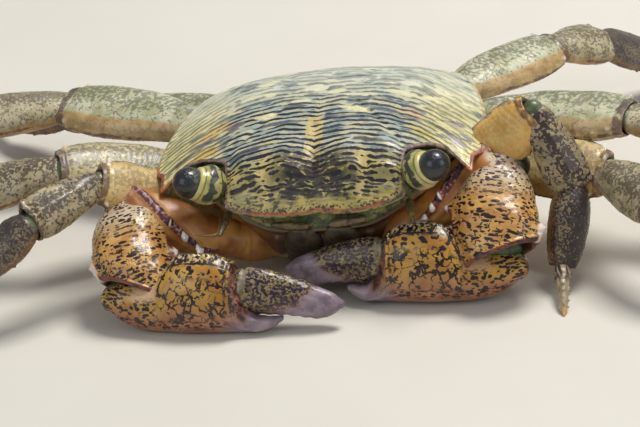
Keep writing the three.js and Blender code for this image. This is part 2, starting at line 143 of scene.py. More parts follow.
# One mesh object from one or more skins, riding on the root body and standing for CAD nodes.
def addPiece(name, skins, material, nodes=()):
    skins = [faceOut(s) for s in skins]
    starts = np.cumsum([0] + [len(s["points"]) for s in skins])
    points = np.concatenate([s["points"] for s in skins]) * mm
    points[:, 2] = np.maximum(points[:, 2], 0)
    quads = np.concatenate([s["quads"] + o for s, o in zip(skins, starts)])
    tris = np.concatenate([s["tris"] + o for s, o in zip(skins, starts)])
    data = bpy.data.meshes.new(name)
    data.vertices.add(len(points))
    data.vertices.foreach_set("co", points.ravel())
    data.loops.add(quads.size + tris.size)
    data.loops.foreach_set("vertex_index", np.concatenate([quads.ravel(), tris.ravel()]))
    data.polygons.add(len(quads) + len(tris))
    loopStarts = np.concatenate([np.arange(len(quads)) * 4, quads.size + np.arange(len(tris)) * 3])
    data.polygons.foreach_set("loop_start", loopStarts)
    data.polygons.foreach_set("use_smooth", np.ones(len(loopStarts), bool))
    data.update(calc_edges=True)
    data.validate()
    for field in skins[0]["fields"]:
        values = np.concatenate([s["fields"][field] for s in skins])
        kind, key = ("FLOAT", "value") if values.ndim == 1 else ("FLOAT_VECTOR", "vector")
        data.attributes.new(field, kind, "POINT").data.foreach_set(key, values.ravel())
    data.materials.append(material)
    piece = bpy.data.objects.new(name, data)
    bpy.context.scene.collection.objects.link(piece)
    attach(piece, "root")
    if nodes:
        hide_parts(*nodes)
    return piece


def nodePoints(*names):  # the corners of CAD nodes, in millimetres
    found = []
    for name in names:
        data = frame["nodes"][name].data
        flat = np.empty(len(data.vertices) * 3)
        data.vertices.foreach_get("co", flat)
        found.append(flat.reshape(-1, 3) / mm)
    return np.concatenate(found)


def farthest(points, place):  # the point of a set that is farthest from a place
    return points[np.argmax(np.linalg.norm(points - place, axis=1))]


# A plate's frame: d along it, b across its broad side, n through it, always facing ahead and up.
def plateFrame(start, end, broadside):
    d = unit(end - start)
    b = unit(broadside - d * np.dot(broadside, d))
    n = np.cross(d, b)
    if np.dot(n, (0, -1, 0.8)) < 0:
        n = -n
    return {"start": start, "d": d, "b": b, "n": n, "length": np.linalg.norm(end - start)}


# The body's own frame, from the tips of the back's two side teeth.
backPoints = nodePoints("carapace")
leftTip = backPoints[np.argmax(backPoints[:, 0])]
rightTip = backPoints[np.argmin(backPoints[:, 0])]
across = unit(leftTip - rightTip)
upward = np.array([-across[2], 0, across[0]])
forwardReach = 0.478  # how far the front margin bulges ahead of the body's reference line
halfSpan = np.linalg.norm(leftTip - rightTip) / 2

backShape = {
    "halfWidth": 17.5, "crownY": 16, "crownHeight": 5.2, "sideDrop": 3.3, "sidePower": 2.6,
    "frontDrop": 7.2, "frontFade": 4, "rearDrop": 4.3, "rearReach": 12.6, "rearPower": 2.2,
    "swellings": [(0, 11, 5.5, 0.35), (0, 20.5, 3.6, 0.3), (9.5, 17, 4.5, 0.4), (3, 3.6, 2.2, 0.45),
                  (7.4, 3.9, 2, 0.4)],
}


# The back's height: a crown falling to the sides by a power of x, to the front by an exponential and
# to the rear by a power of y, with bell-shaped swellings.
def backHeight(x, y):
    own = backShape
    side = own["sideDrop"] * (np.abs(x) / own["halfWidth"]) ** own["sidePower"]
    front = own["frontDrop"] * np.exp(-(y + 0.4) / own["frontFade"]) * (1 - 0.45 * smooth(np.abs(x), 9, 15))
    rear = own["rearDrop"] * (np.maximum(y - own["crownY"], 0) / own["rearReach"]) ** own["rearPower"]
    height = own["crownHeight"] - side - front - rear
    for sx, sy, spread, size in own["swellings"]:
        height = height + size * np.exp(-((np.abs(x) - sx) ** 2 + (y - sy) ** 2) / spread ** 2)
    return height


bodyY = backPoints[:, 1].min() + forwardReach
tipHeight = backHeight(halfSpan, leftTip[1] - bodyY)
bodyOrigin = (leftTip + rightTip) / 2 - upward * tipHeight
bodyOrigin[1] = bodyY


def inBody(x, y, z):  # a place in the body's frame: x to the crab's left, y back, z up
    x, y, z = np.broadcast_arrays(x, y, z)
    return bodyOrigin + x[..., None] * across + y[..., None] * np.array([0, 1, 0]) + z[..., None] * upward


print("measured the body: origin", bodyOrigin.round(2), "half span", round(halfSpan, 2))

# The camera: angles in degrees, lengths in millimetres, its target taken from the body's front margin.
view = {"azimuth": 11.1, "elevation": 25.5, "roll": 5.6, "distance": 330, "lens": 175.9}
target = inBody(0.5, 0, -2.6)


# Stands off from the target along its azimuth and elevation, turned round the line of sight by roll.
def placeCamera():
    azimuth, elevation, roll = (math.radians(view[key]) for key in ("azimuth", "elevation", "roll"))
    level = math.cos(elevation)
    back = np.array([math.sin(azimuth) * level, -math.cos(azimuth) * level, math.sin(elevation)])
    right = unit(np.cross(-back, (0, 0, 1)))
    top = np.cross(back, right)
    turnedRight = math.cos(roll) * right - math.sin(roll) * top
    turnedTop = math.sin(roll) * right + math.cos(roll) * top
    data = bpy.data.cameras.new("camera")
    data.lens = view["lens"]
    data.sensor_width = 36
    data.clip_start = 0.01
    camera = bpy.data.objects.new("camera", data)
    basis = Matrix([turnedRight, turnedTop, back]).transposed().to_4x4()
    camera.matrix_world = Matrix.Translation(Vector((target + back * view["distance"]) * mm)) @ basis
    bpy.context.scene.collection.objects.link(camera)
    bpy.context.scene.camera = camera


placeCamera()


# Shader helpers. Each adds its node to the tree that its linked inputs belong to.
def paint(code):  # a hex colour turned to linear light
    c = np.array([int(code[i:i + 2], 16) for i in (0, 2, 4)]) / 255
    linear = np.where(c <= 0.04045, c / 12.92, ((c + 0.055) / 1.055) ** 2.4)
    return (*linear, 1.0)


def isLinked(value):  # whether a value is another node's output
    return isinstance(value, bpy.types.NodeSocket)


def join(value, socket):  # a link from an output to an input
    socket.id_data.links.new(value, socket)


def addNode(kind, inputs, tree=None, **settings):  # an input is a plain value or an output
    tree = tree or next(v.id_data for v in inputs.values() if isLinked(v))
    node = tree.nodes.new(kind)
    for key, value in settings.items():
        setattr(node, key, value)
    for key, value in inputs.items():
        if isLinked(value):
            join(value, node.inputs[key])
        else:
            node.inputs[key].default_value = value
    return node


def calc(operation, a, b=0.0, c=0.0, clamp=False):  # one step of arithmetic
    return addNode("ShaderNodeMath", {0: a, 1: b, 2: c}, operation=operation, use_clamp=clamp).outputs[0]


def plus(a, b):  # the sum
    return calc("ADD", a, b)


def minus(a, b):  # the difference
    return calc("SUBTRACT", a, b)


def times(value, *others):  # the product of two or more
    for other in others:
        value = calc("MULTIPLY", value, other)
    return value


def grade(value, gain, base):  # value times gain, plus base
    return calc("MULTIPLY_ADD", value, gain, base)


def most(value, *others):  # the largest of two or more
    for other in others:
        value = calc("MAXIMUM", value, other)
    return value


def absolute(value):  # the size without the sign
    return calc("ABSOLUTE", value)


def vectorCalc(operation, a, b, second=1):  # the same on places, b going in at the given input
    return addNode("ShaderNodeVectorMath", {0: a, second: b}, operation=operation).outputs[0]


def above(value, low, high):  # 0 below low, 1 above high, an S curve between
    inputs = {"Value": value, "From Min": low, "From Max": high}
    return addNode("ShaderNodeMapRange", inputs, interpolation_type="SMOOTHSTEP").outputs["Result"]


def below(value, low, high):  # 1 below low, 0 above high
    return minus(1.0, above(value, low, high))


def mixed(factor, a, b):  # a where the factor is 0, b where it is 1
    return addNode("ShaderNodeMix", {0: factor, 6: a, 7: b}, data_type="RGBA").outputs[2]


def noise(place, scale, detail=2.0, output="Fac"):  # a field from 0 to 1 with a given number of octaves
    inputs = {"Vector": place, "Scale": scale, "Detail": detail}
    return addNode("ShaderNodeTexNoise", inputs).outputs[output]


def cells(place, scale, feature="F1", randomness=1.0):  # the distance to a cell's point or edge
    inputs = {"Vector": place, "Scale": scale, "Randomness": randomness}
    return addNode("ShaderNodeTexVoronoi", inputs, feature=feature).outputs["Distance"]


def combine(x, y=0.0, z=0.0):  # three numbers as one place
    return addNode("ShaderNodeCombineXYZ", {0: x, 1: y, 2: z}).outputs[0]


def split(vector):  # the three numbers of a place
    return addNode("ShaderNodeSeparateXYZ", {0: vector}).outputs


def newGroup(name, inputs, outputs):  # an input without a value is a place
    tree = bpy.data.node_groups.new(name, "ShaderNodeTree")
    for label, value in inputs.items():
        kind = "NodeSocketVector" if value is None else "NodeSocketFloat"
        socket = tree.interface.new_socket(name=label, in_out="INPUT", socket_type=kind)
        if value is not None:
            socket.default_value = value
    for label in outputs:
        tree.interface.new_socket(name=label, in_out="OUTPUT", socket_type="NodeSocketFloat")
    return tree.nodes.new("NodeGroupInput").outputs, tree.nodes.new("NodeGroupOutput").inputs


def useGroup(name, inputs):  # the outputs of one use of a group
    return addNode("ShaderNodeGroup", inputs, node_tree=bpy.data.node_groups[name]).outputs


# Rows of wavy dark lines, one to each whole step of Phase. Each row has its own noise along it: the
# line is as thick as the noise is above Breaks, so dashes taper at both ends. Fill is a wider lens in
# some of the gaps, Tone a slow shade of each gap.
def buildStriae():
    inputs = {"Place": None, "Phase": 0.0, "Along": 0.0, "Width": 0.3, "Breaks": 0.3, "Long": 0.0,
              "Wobble": 0.1}
    given, out = newGroup("striae", inputs, ["Line", "Fill", "Tone"])
    wave = minus(noise(given["Place"], 0.9), 0.5)
    phase = grade(wave, given["Wobble"], given["Phase"])
    row = times(calc("FLOOR", phase), 17.3)
    lane = combine(given["Along"], row)
    shortWave, longWave = noise(lane, 1.15, 1.0), noise(lane, 0.42)
    keep = plus(times(longWave, given["Long"]), times(shortWave, minus(1.0, given["Long"])))
    thick = calc("MULTIPLY", minus(keep, given["Breaks"]), 6.0, clamp=True)
    half = times(thick, given["Width"], 0.5)
    off = absolute(minus(calc("FRACT", phase), 0.5))
    line = below(off, minus(half, 0.05), plus(half, 0.05))
    join(times(line, above(half, 0.0, 0.07)), out["Line"])
    gapPhase = plus(phase, 0.5)
    gap = combine(given["Along"], grade(calc("FLOOR", gapPhase), 9.1, 40.0), 5.5)
    wide = calc("MULTIPLY", minus(noise(gap, 0.33), 0.53), 5.5, clamp=True)
    gapOff = absolute(minus(calc("FRACT", gapPhase), 0.5))
    reach = times(wide, 0.5)
    lens = below(gapOff, minus(reach, 0.07), plus(reach, 0.07))
    join(times(lens, above(wide, 0.05, 0.35)), out["Fill"])
    join(noise(gap, 0.4), out["Tone"])


# A dark net between rounded cells: the cells' edges, bent by a coarse and a fine noise. Its width is
# one slow noise above Gaps times a quick one, so the net is thick and thin and breaks off.
def buildNet():
    inputs = {"Place": None, "Cell": 1.0, "Width": 0.12, "Gaps": 0.3}
    given, out = newGroup("brokenNet", inputs, ["Net"])
    scale = calc("DIVIDE", 1.0, given["Cell"])
    place = given["Place"]
    for size, reach in ((0.75, 1.3), (2.4, 0.62)):
        bend = vectorCalc("SUBTRACT", noise(given["Place"], times(scale, size), 1.0, "Color"), (0.5,) * 3)
        bend = vectorCalc("SCALE", bend, times(given["Cell"], reach), 3)
        place = vectorCalc("ADD", place, bend)
    edge = cells(place, scale, "DISTANCE_TO_EDGE")
    slow = minus(noise(place, times(scale, 0.8)), given["Gaps"])
    quick = grade(noise(place, times(scale, 3.4), 1.0), 2.6, -0.5)
    width = times(slow, quick, given["Width"], 3.4)
    net = below(edge, minus(width, 0.03), plus(width, 0.03))
    join(times(net, above(width, 0.0, 0.03)), out["Net"])


# Blotches: a noise cut at Amount, its edge as wide as Softness.
def buildMottling():
    inputs = {"Place": None, "Size": 1.0, "Amount": 0.5, "Softness": 0.05, "Detail": 3.0}
    given, out = newGroup("mottling", inputs, ["Blotch"])
    field = noise(given["Place"], calc("DIVIDE", 1.0, given["Size"]), given["Detail"])
    level = minus(1.0, given["Amount"])
    blotch = above(field, minus(level, given["Softness"]), plus(level, given["Softness"]))
    join(blotch, out["Blotch"])


# Short dashes: cells stretched along the surface and bent by a noise, each holding one dark spot.
def buildDashes():
    inputs = {"Along": 0.0, "Across": 0.0, "Length": 1.2, "Row": 0.6, "Fill": 0.3}
    given, out = newGroup("dashes", inputs, ["Dash"])
    x = calc("DIVIDE", given["Along"], given["Length"])
    y = calc("DIVIDE", given["Across"], given["Row"])
    lane = combine(x, y, 3.7)
    lane = vectorCalc("ADD", lane, vectorCalc("MULTIPLY", noise(lane, 1.3, 2.0, "Color"), (0.55,) * 3))
    distance = cells(lane, 1.0, randomness=0.8)
    size = times(grade(noise(lane, 0.5, 1.0), 1.6, 0.2), given["Fill"])
    join(below(distance, minus(size, 0.06), plus(size, 0.06)), out["Dash"])


# A wet skin: fine grains for the bump, and sparse bright beads where a slow noise is high.
def buildWetSpeckle():
    given, out = newGroup("wetSpeckle", {"Place": None, "Grain": 0.3, "Beads": 0.5}, ["Grains", "Bead"])
    scale = calc("DIVIDE", 1.0, given["Grain"])
    join(minus(1.0, cells(given["Place"], scale, "SMOOTH_F1")), out["Grains"])
    dot = below(cells(given["Place"], times(scale, 0.55)), 0.1, 0.22)
    where = above(noise(given["Place"], 0.45), minus(1.0, given["Beads"]), minus(1.05, given["Beads"]))
    join(times(dot, where), out["Bead"])


buildStriae()
buildNet()
buildMottling()
buildDashes()
buildWetSpeckle()


# The groups as functions, sizes in millimetres.
def mottling(place, size, amount, softness=0.05, detail=3.0):
    inputs = {"Place": place, "Size": size, "Amount": amount, "Softness": softness, "Detail": detail}
    return useGroup("mottling", inputs)["Blotch"]


def brokenNet(place, cell, width, gaps):  # cell and width are the net's mesh and its thread
    return useGroup("brokenNet", {"Place": place, "Cell": cell, "Width": width, "Gaps": gaps})["Net"]


def dashes(along, across, length, row, fill):  # length and row are the spacing along and across
    inputs = {"Along": along, "Across": across, "Length": length, "Row": row, "Fill": fill}
    return useGroup("dashes", inputs)["Dash"]


def wetSpeckle(place, grain, beads):  # grain is a grain's breadth, beads their share from 0 to 1
    return useGroup("wetSpeckle", {"Place": place, "Grain": grain, "Beads": beads})


# A material with its roughness and clear coat. Also gives the place on the object, in millimetres.
def newMaterial(name, rough, coat=0.0, coatRough=0.03):
    material = bpy.data.materials.new(name)
    material.use_nodes = True
    tree = material.node_tree
    shader = tree.nodes["Principled BSDF"]
    for key, value in (("Roughness", rough), ("Coat Weight", coat), ("Coat Roughness", coatRough)):
        shader.inputs[key].default_value = value
    place = addNode("ShaderNodeTexCoord", {}, tree).outputs["Object"]
    return material, shader, vectorCalc("SCALE", place, 1 / mm, 3)


def attribute(here, name, output="Vector"):  # one of the mesh's own fields
    return addNode("ShaderNodeAttribute", {}, here.id_data, attribute_name=name).outputs[output]


def numbers(here, name):  # the three numbers of such a field
    return split(attribute(here, name))


def bumped(shader, height, distance):  # the height in its own units, worth this many millimetres
    node = addNode("ShaderNodeBump", {"Height": height, "Distance": distance * mm, "Strength": 1.0})
    join(node.outputs["Normal"], shader.inputs["Normal"])


def colour(shader, socket):  # links the finished colour
    join(socket, shader.inputs["Base Color"])


# Ground colour that drifts between two paints with a slow noise.
def drift(here, scale, a, b, low=0.35, high=0.65, detail=3.0):
    return mixed(above(noise(here, scale, detail), low, high), paint(a), paint(b))


# A wet finish over a colour: beads are smoother than the rest, grains and beads stand up, and the
# marking lies low.
def wetSurface(shader, here, ground, height, rough, grain, beads, distance):
    colour(shader, ground)
    wet = wetSpeckle(here, grain, beads)
    join(grade(wet["Bead"], -0.2, rough), shader.inputs["Roughness"])
    raised = grade(wet["Grains"], 0.5, times(wet["Bead"], 0.8))
    bumped(shader, grade(height, -0.6, raised), distance)


print("built the shader groups")

# The back. Its outline runs from the middle of the front margin to the middle of the hind margin as
# quadratic arcs (start, control, end); straight stretches have their control halfway.
outline = {
    "start": (0, -0.4),
    "arcs": [((6.4, -0.8), (9.6, 0.5)), ((9.3, 2.0), (9.6, 4.0)), ((11.8, 5.4), (14.2, 4.3)),
             ((15.4, 3.3), (16.75, 2.3)), ((16.7, 3.4), (16.85, 4.4)), ((17.2, 4.8), (17.65, 5.2)),
             ((18.0, 8.0), (17.45, 11.5)), ((17.0, 15.4), (15.4, 19.0)), ((13.8, 23.4), (10.6, 26.0)),
             ((7.6, 28.9), (0, 28.6))],
}
back = {"around": 560, "rows": 138, "frontSpacing": 0.52, "rearSpacing": 1.05, "striaHeight": 0.1,
        "thickness": 0.38, "granule": 0.42}


def outlinePoints(count):  # evenly spaced points of the whole outline, left half then right half
    start = np.array(outline["start"], float)
    u = np.linspace(0, 1, 80, endpoint=False)[:, None]
    runs = []
    for control, end in outline["arcs"]:
        control, end = np.array(control, float), np.array(end, float)
        runs.append(start * (1 - u) ** 2 + 2 * control * u * (1 - u) + end * u * u)
        start = end
    half = np.concatenate(runs + [start[None]])
    length = np.concatenate([[0], np.cumsum(np.linalg.norm(np.diff(half, axis=0), axis=1))])
    places = np.linspace(0, length[-1], count // 2 + 1)
    left = np.stack([np.interp(places, length, half[:, k]) for k in (0, 1)], -1)
    right = left[-2:0:-1] * (-1, 1)
    along = np.concatenate([places, 2 * length[-1] - places[-2:0:-1]])
    return np.concatenate([left, right]), along


# The number of the line that a place lies on: distance along the back over a spacing that grows to
# the rear, with the lines arched on each side of the middle and bent forward toward the flanks.
def striaPhase(x, y):
    side = np.abs(x)
    arch = 0.6 * np.sin(np.pi * np.clip(side, 0, 9) / 9) ** 0.8 * smooth(y, 1.5, 5)
    oblique = 0.42 * np.logaddexp(0, (side - 10) * 1.6)
    flat = stacked(x, y)
    run = y - arch + oblique + 0.2 * wander(flat, 2.7, 1) + 0.09 * wander(flat, 1.1, 2)
    table = np.linspace(-4, 50, 1100)
    slope = np.gradient(backHeight(3.0 + 0 * table, np.clip(table, -0.4, 28)), table)
    grown = 0.45 * smooth(table, 2, 6) + 0.55 * smooth(table, 7, 17)
    spacing = back["frontSpacing"] * (1 - grown) + back["rearSpacing"] * grown
    steps = np.sqrt(1 + slope ** 2) / spacing
    total = np.concatenate([[0], np.cumsum((steps[1:] + steps[:-1]) / 2 * np.diff(table))])
    return np.interp(run, table, total)


# What stands out of the back's smooth form: four lobes behind the front with a step before each, a
# furrow between them, the neck furrow, a raised rim, and each line's low step.
def backRelief(x, y, edge, phase):
    side = np.abs(x)
    lobes = 0
    for centre, half, start in ((3.1, 2.3, 1.75), (7.6, 1.8, 1.6)):
        window = 1 - smooth(np.abs(side - centre), half * 0.7, half)
        start = start - 0.1 * (side - centre) ** 2 / half
        lobes = lobes + window * (0.36 * hump(y, start + 0.45, 0.5) - 0.36 * hump(y, start - 0.25, 0.32))
    furrow = -0.22 * hump(x, 0, 0.55) * (1 - smooth(y, 3.5, 5.5)) * smooth(y, 0, 1)
    neck = -0.16 * hump(y, 4.6 + 1.25 * np.maximum(9.5 - side, 0), 0.55)
    neck = neck * within(side, 3.2, 4.5, 9, 10.5)
    heart = -0.12 * hump(side, 4.2 + 0.12 * (y - 18) ** 2, 0.6) * hump(y, 18, 3)
    rim = 0.07 * hump(edge, 0.2, 0.16)
    behind = (phase + 0.5) % 1
    steps = smooth(behind, 0, 0.16) * (1 - behind)
    height = back["striaHeight"] * (0.45 + 0.55 * smooth(y, 2, 6)) * smooth(edge, 0.3, 1.2)
    flat = stacked(x, y)
    return lobes + furrow + neck + heart + rim + height * steps + 0.035 * wander(flat, 0.9, 5)


# Rings of the outline drawn in to the crown, the edge rolled under in half a circle with small beads
# on it, and the inside a thickness below. place holds x, y and the distance in from the edge.
def makeBack():
    edge, along = outlinePoints(back["around"])
    crown = np.array([0, backShape["crownY"]])
    outward = np.roll(edge, -2, axis=0) - np.roll(edge, 2, axis=0)
    outward = stacked(outward[:, 1], -outward[:, 0])
    outward /= np.linalg.norm(outward, axis=1)[:, None]
    reach = np.linalg.norm(edge - crown, axis=1)
    shares = np.linspace(0, 1, back["rows"]) ** 0.86
    flat = crown + (edge - crown) * shares[:, None, None]
    x, y = flat[..., 0], flat[..., 1]
    distance = reach * (1 - shares[:, None])
    phase = striaPhase(x, y)
    top = backHeight(x, y) + backRelief(x, y, distance, phase) * smooth(distance, -0.2, 0.15)
    thickness = back["thickness"]
    beads = 0.05 * np.abs(np.sin(np.pi * along / back["granule"])) * (1 - smooth(edge[:, 1], 5, 9))
    rows = [stacked(x, y, top)]
    marks = [stacked(x, y, distance)]
    for turn in np.radians([25, 55, 90, 125, 155, 180]):
        out = math.sin(turn) * (thickness * 0.5 + beads)
        down = thickness * 0.5 * (1 - math.cos(turn))
        ring = edge + outward * out[:, None]
        rows.append(np.concatenate([ring, (top[-1] - down)[:, None]], -1)[None])
        marks.append(stacked(edge[:, 0], edge[:, 1], -turn * thickness / 2)[None])
    for share in (0.985, 0.96, 0.9, 0.8, 0.65, 0.45, 0.2, 0):
        ring = crown + (edge - crown) * share
        inner = backHeight(ring[:, 0], ring[:, 1]) - thickness * 1.2
        rows.append(np.concatenate([ring, inner[:, None]], -1)[None])
        marks.append(stacked(ring[:, 0], ring[:, 1], -1)[None])
    local = np.concatenate(rows)
    place = np.concatenate(marks)
    phase = np.concatenate([phase, np.repeat(phase[-1:], len(local) - len(phase), axis=0)])
    grid = inBody(local[..., 0], local[..., 1], local[..., 2])
    return closedSkin(grid, {"place": place, "phase": phase})


# Single patches on the back: x, y, half width, half height in lines, paint, how far it hides the lines.
# The two brown ones just behind the front margin are painted shade under the crests of the front lobes.
patches = [(-5.9, 10.0, 1.4, 0.75, "dcd6a4", 1), (4.5, 9.9, 1.4, 0.7, "dcd6a4", 1),
           (-9.2, 9.3, 1.0, 0.8, "46445e", 1), (-12.7, 7.2, 1.2, 0.7, "46385e", 1),
           (-14.4, 5.4, 1.9, 0.5, "2a1c30", 1), (-12.4, 5.4, 1.7, 1.1, "c8a040", 0),
           (-11.4, 9.3, 1.9, 1.2, "c8a862", 0), (10.0, 9.7, 1.5, 1.1, "ceb084", 0),
           (5.8, 4.9, 1.8, 0.55, "262038", 1), (14.0, 6.7, 2.4, 0.45, "1f1828", 1),
           (7.1, 10.0, 1.8, 0.5, "44485e", 1), (11.3, 6.4, 1.5, 1.0, "c2b460", 0),
           (-1.1, 15.2, 1.8, 1.0, "e0dcc0", 1), (4.3, 13.0, 2.0, 0.45, "d8d4ac", 1),
           (8.5, 13.4, 1.8, 0.6, "d8d4ac", 1), (9.3, 15.6, 1.5, 0.55, "dad8b8", 1),
           (-4.0, 8.3, 2.3, 0.5, "42465c", 1), (-6.6, 4.7, 1.8, 0.5, "302c44", 1),
           (-8.5, 14.5, 1.9, 0.6, "d6d2ae", 1), (15.2, 5.4, 1.0, 0.8, "968c98", 1),
           # painted shade: the two brown patches under the front lobes' crests
           (-3.2, 1.2, 1.8, 0.9, "4e4030", 0), (3.3, 1.35, 1.9, 0.9, "453a30", 0),
           (-7.9, 0.8, 1.5, 1.1, "8e8a74", 1), (8.5, 0.9, 1.3, 1.0, "7e745e", 1)]
patchStrength = 0.85


# Lays the patches over a colour, each an oval with a ragged edge: the distance from its middle in half
# widths, plus a noise, cut at about 1. Gives the new colour and how far the lines are hidden.
def layPatches(body, x, phase, shake):
    spot = combine(x, phase)
    ragged = grade(noise(spot, 1.3, 3.0), 1.5, grade(shake, 0.5, -0.75))
    hidden = 0.0
    for px, py, halfX, halfLines, code, hide in patches:
        line = float(striaPhase(np.array([px]), np.array([py]))[0])
        off = vectorCalc("SUBTRACT", spot, (px, line, 0))
        off = vectorCalc("MULTIPLY", off, (1 / halfX, 1 / halfLines, 0))
        far = addNode("ShaderNodeVectorMath", {0: off}, operation="LENGTH").outputs["Value"]
        mask = above(plus(ragged, far), 1.2, 0.6)
        body = mixed(times(mask, patchStrength), body, paint(code))
        hidden = most(hidden, times(mask, patchStrength * hide))
    return body, hidden


# Where things are on the back: places and distances, shaken by a noise so that no edge is straight,
# and masks of its front, rear, flanks and orbits and of the yellow bands in its middle and on each lobe.
def backZones(here):
    x, y, edge = numbers(here, "place")
    shake = minus(noise(here, 0.8, 3.0), 0.5)
    side = grade(shake, 1.1, absolute(x))
    depth = grade(shake, 2.0, y)
    centre = absolute(grade(shake, 0.3, plus(x, 0.1)))
    bandEnd = grade(shake, 0.8, y)
    middle = times(below(centre, 0.85, 1.0), above(bandEnd, 2.9, 3.3), below(bandEnd, 8.2, 9.4))
    lobe = below(absolute(minus(side, 5.3)), 0.2, 1.0)
    return {
        "x": x, "y": y, "edge": edge, "shake": shake, "side": side, "depth": depth,
        "front": below(depth, 2.4, 4.6), "rear": above(depth, 9.0, 19.0), "flank": above(side, 8.8, 13.0),
        "bright": most(middle, times(lobe, below(depth, 3.0, 6.0), 0.75)),
        "ahead": times(below(y, 1.3, 1.9), below(absolute(x), 9.2, 9.7)),
    }


# The ground: greys that change to olive in front, yellow on the flanks and bands and pale in the rear,
# with blue-grey between some lines, purple patches on the flanks and cream ones toward the rear. The
# front's olive is darkened in part as painted shade. Gives the colour and the cream patches' mask.
def backGround(here, zone, lines):
    front, rear, flank, bright, depth = (zone[k] for k in ("front", "rear", "flank", "bright", "depth"))
    wide = combine(times(zone["x"], 0.42), zone["y"])
    ground = mixed(above(lines["Tone"], 0.38, 0.6), paint("97a29a"), paint("bab696"))
    # painted shade: the olive in front is darker than its own colour
    ground = mixed(times(front, 0.8), ground, drift(here, 0.5, "857a38", "baa44e"))
    ground = mixed(times(flank, 0.75), ground, drift(wide, 0.5, "cabf78", "e2d38e"))
    ground = mixed(times(bright, 0.8), ground, drift(here, 0.9, "c2a760", "d3bf84"))
    ground = mixed(times(rear, 0.75), ground, drift(wide, 0.5, "c0c6b8", "dcdecc"))
    openGround = times(minus(1.0, front), minus(1.0, bright))
    blue = drift(wide, 0.5, "474f64", "78867e", 0.4, 0.6, 2.0)
    ground = mixed(times(lines["Fill"], openGround, 0.85), ground, blue)
    plum = times(mottling(wide, 1.9, 0.33, 0.04, 1.0), flank, below(depth, 12.0, 18.0))
    ground = mixed(times(plum, 0.75), ground, paint("56486a"))
    pale = times(mottling(wide, 1.8, 0.36, 0.04, 1.0), above(depth, 6.0, 11.0))
    return mixed(times(pale, 0.9), ground, paint("ddd7ae")), pale


# The margins: purple grains then an orange-red line along the front, olive under the edge, plain lilac
# brown round the orbits, sand along the sides and rust on the corner tooth.
def backMargins(body, here, zone):
    x, y, edge, shake, ahead = (zone[k] for k in ("x", "y", "edge", "shake", "ahead"))
    band = times(below(edge, 0.22, 0.5), above(cells(here, 3.2), 0.5, 0.3))
    body = mixed(times(band, ahead, 0.92), body, paint("3c1a2a"))
    line = drift(here, 1.1, "5e221c", "94482e", 0.35, 0.65, 2.0)
    line = mixed(below(grade(shake, 1.5, zone["side"]), 6.4, 8.0), paint("4c3038"), line)
    body = mixed(times(below(grade(shake, 0.3, edge), 0.02, 0.16), ahead, 0.85), body, line)
    under = drift(here, 1.0, "4a5230", "8f8a4c", 0.42, 0.58, 2.0)
    body = mixed(below(edge, -0.25, -0.17), body, under)
    orbit = times(below(edge, 0.04, 0.2), minus(1.0, ahead), below(y, 5.6, 6.6))
    body = mixed(times(orbit, 0.85), body, drift(here, 1.3, "4c2c3c", "8e7068", 0.42, 0.58))
    sides = times(below(edge, 0.12, 0.3), above(y, 5.6, 6.6))
    body = mixed(times(sides, 0.7), body, drift(here, 0.8, "9c7a4e", "c8b88c"))
    corner = times(below(edge, 0.12, 0.32), above(absolute(x), 15.4, 16.4), below(y, 5.5, 7.0))
    return mixed(times(corner, 0.8), body, drift(here, 0.9, "7a2e1e", "b8682a"))


# The striped back: broken dark lines, thick in front and thin between them, over the ground and the
# patches, with a dark maze in the middle of the front and fine dots along its margin.
def backMaterial():
    material, shader, here = newMaterial("striped back", 0.42, 0.2, 0.08)
    zone = backZones(here)
    x, y, edge, shake, side, depth = (zone[k] for k in ("x", "y", "edge", "shake", "side", "depth"))
    front, bright, phase = zone["front"], zone["bright"], attribute(here, "phase", "Fac")
    lines = useGroup("striae", {"Place": here, "Phase": phase, "Along": x,
                                "Width": grade(front, 0.27, 0.42),
                                "Breaks": grade(bright, 0.07, grade(front, 0.04, 0.34)),
                                "Long": times(minus(1.0, front), 0.8), "Wobble": 0.55})
    thin = useGroup("striae", {"Place": here, "Phase": plus(phase, 0.47), "Along": x, "Width": 0.17,
                               "Breaks": grade(front, -0.05, 0.5), "Long": 0.25, "Wobble": 0.55})
    ground, pale = backGround(here, zone, lines)
    body, hidden = layPatches(ground, x, phase, shake)
    ink = times(most(lines["Line"], times(thin["Line"], 0.8)), minus(1.0, hidden))
    for place, loss in ((zone["rear"], -0.62), (zone["flank"], -0.35), (pale, -0.85)):
        ink = times(ink, grade(place, loss, 1.0))
    flatWide = combine(times(x, 0.5), y, edge)
    inward = grade(shake, 1.4, edge)
    hem = times(below(inward, 0.35, 0.95), zone["ahead"])
    ink = times(ink, grade(hem, -0.8, 1.0))
    body = mixed(times(hem, 0.6), body, drift(here, 0.6, "8f8740", "c2b058"))
    maze = times(mottling(flatWide, 0.42, 0.57, 0.05, 1.5), below(side, 2.6, 5.2), below(depth, 2.6, 4.6))
    speck = times(mottling(flatWide, 0.38, 0.37, 0.04, 1.0), below(y, 0.5, 1.6), below(side, 9.0, 10.0))
    ink = most(ink, times(maze, above(inward, 0.4, 0.9), 0.92), times(speck, 0.85))
    body = mixed(ink, body, mixed(front, paint("151a2b"), paint("170e14")))
    colour(shader, backMargins(body, here, zone))
    wet = wetSpeckle(here, 0.3, 0.5)
    join(grade(ink, 0.08, grade(wet["Bead"], -0.28, 0.42)), shader.inputs["Roughness"])
    bumped(shader, grade(wet["Bead"], 0.9, grade(ink, -0.5, times(wet["Grains"], 0.7))), 0.05)
    return material


addPiece("carapace_shell", [makeBack()], backMaterial(), ["carapace"])
print("made the back")

# Rings from a plate's last full section to the pole: how many, and for an open rim their share of the
# section and their push along the axis in shares of its size.
capRings = 8
cupScale = np.array([1, 0.97, 0.9, 0.82, 0.78, 0.72, 0.4, 0])
cupPush = np.array([0.06, 0.1, 0.09, -0.05, -0.35, -0.6, -0.7, -0.75])


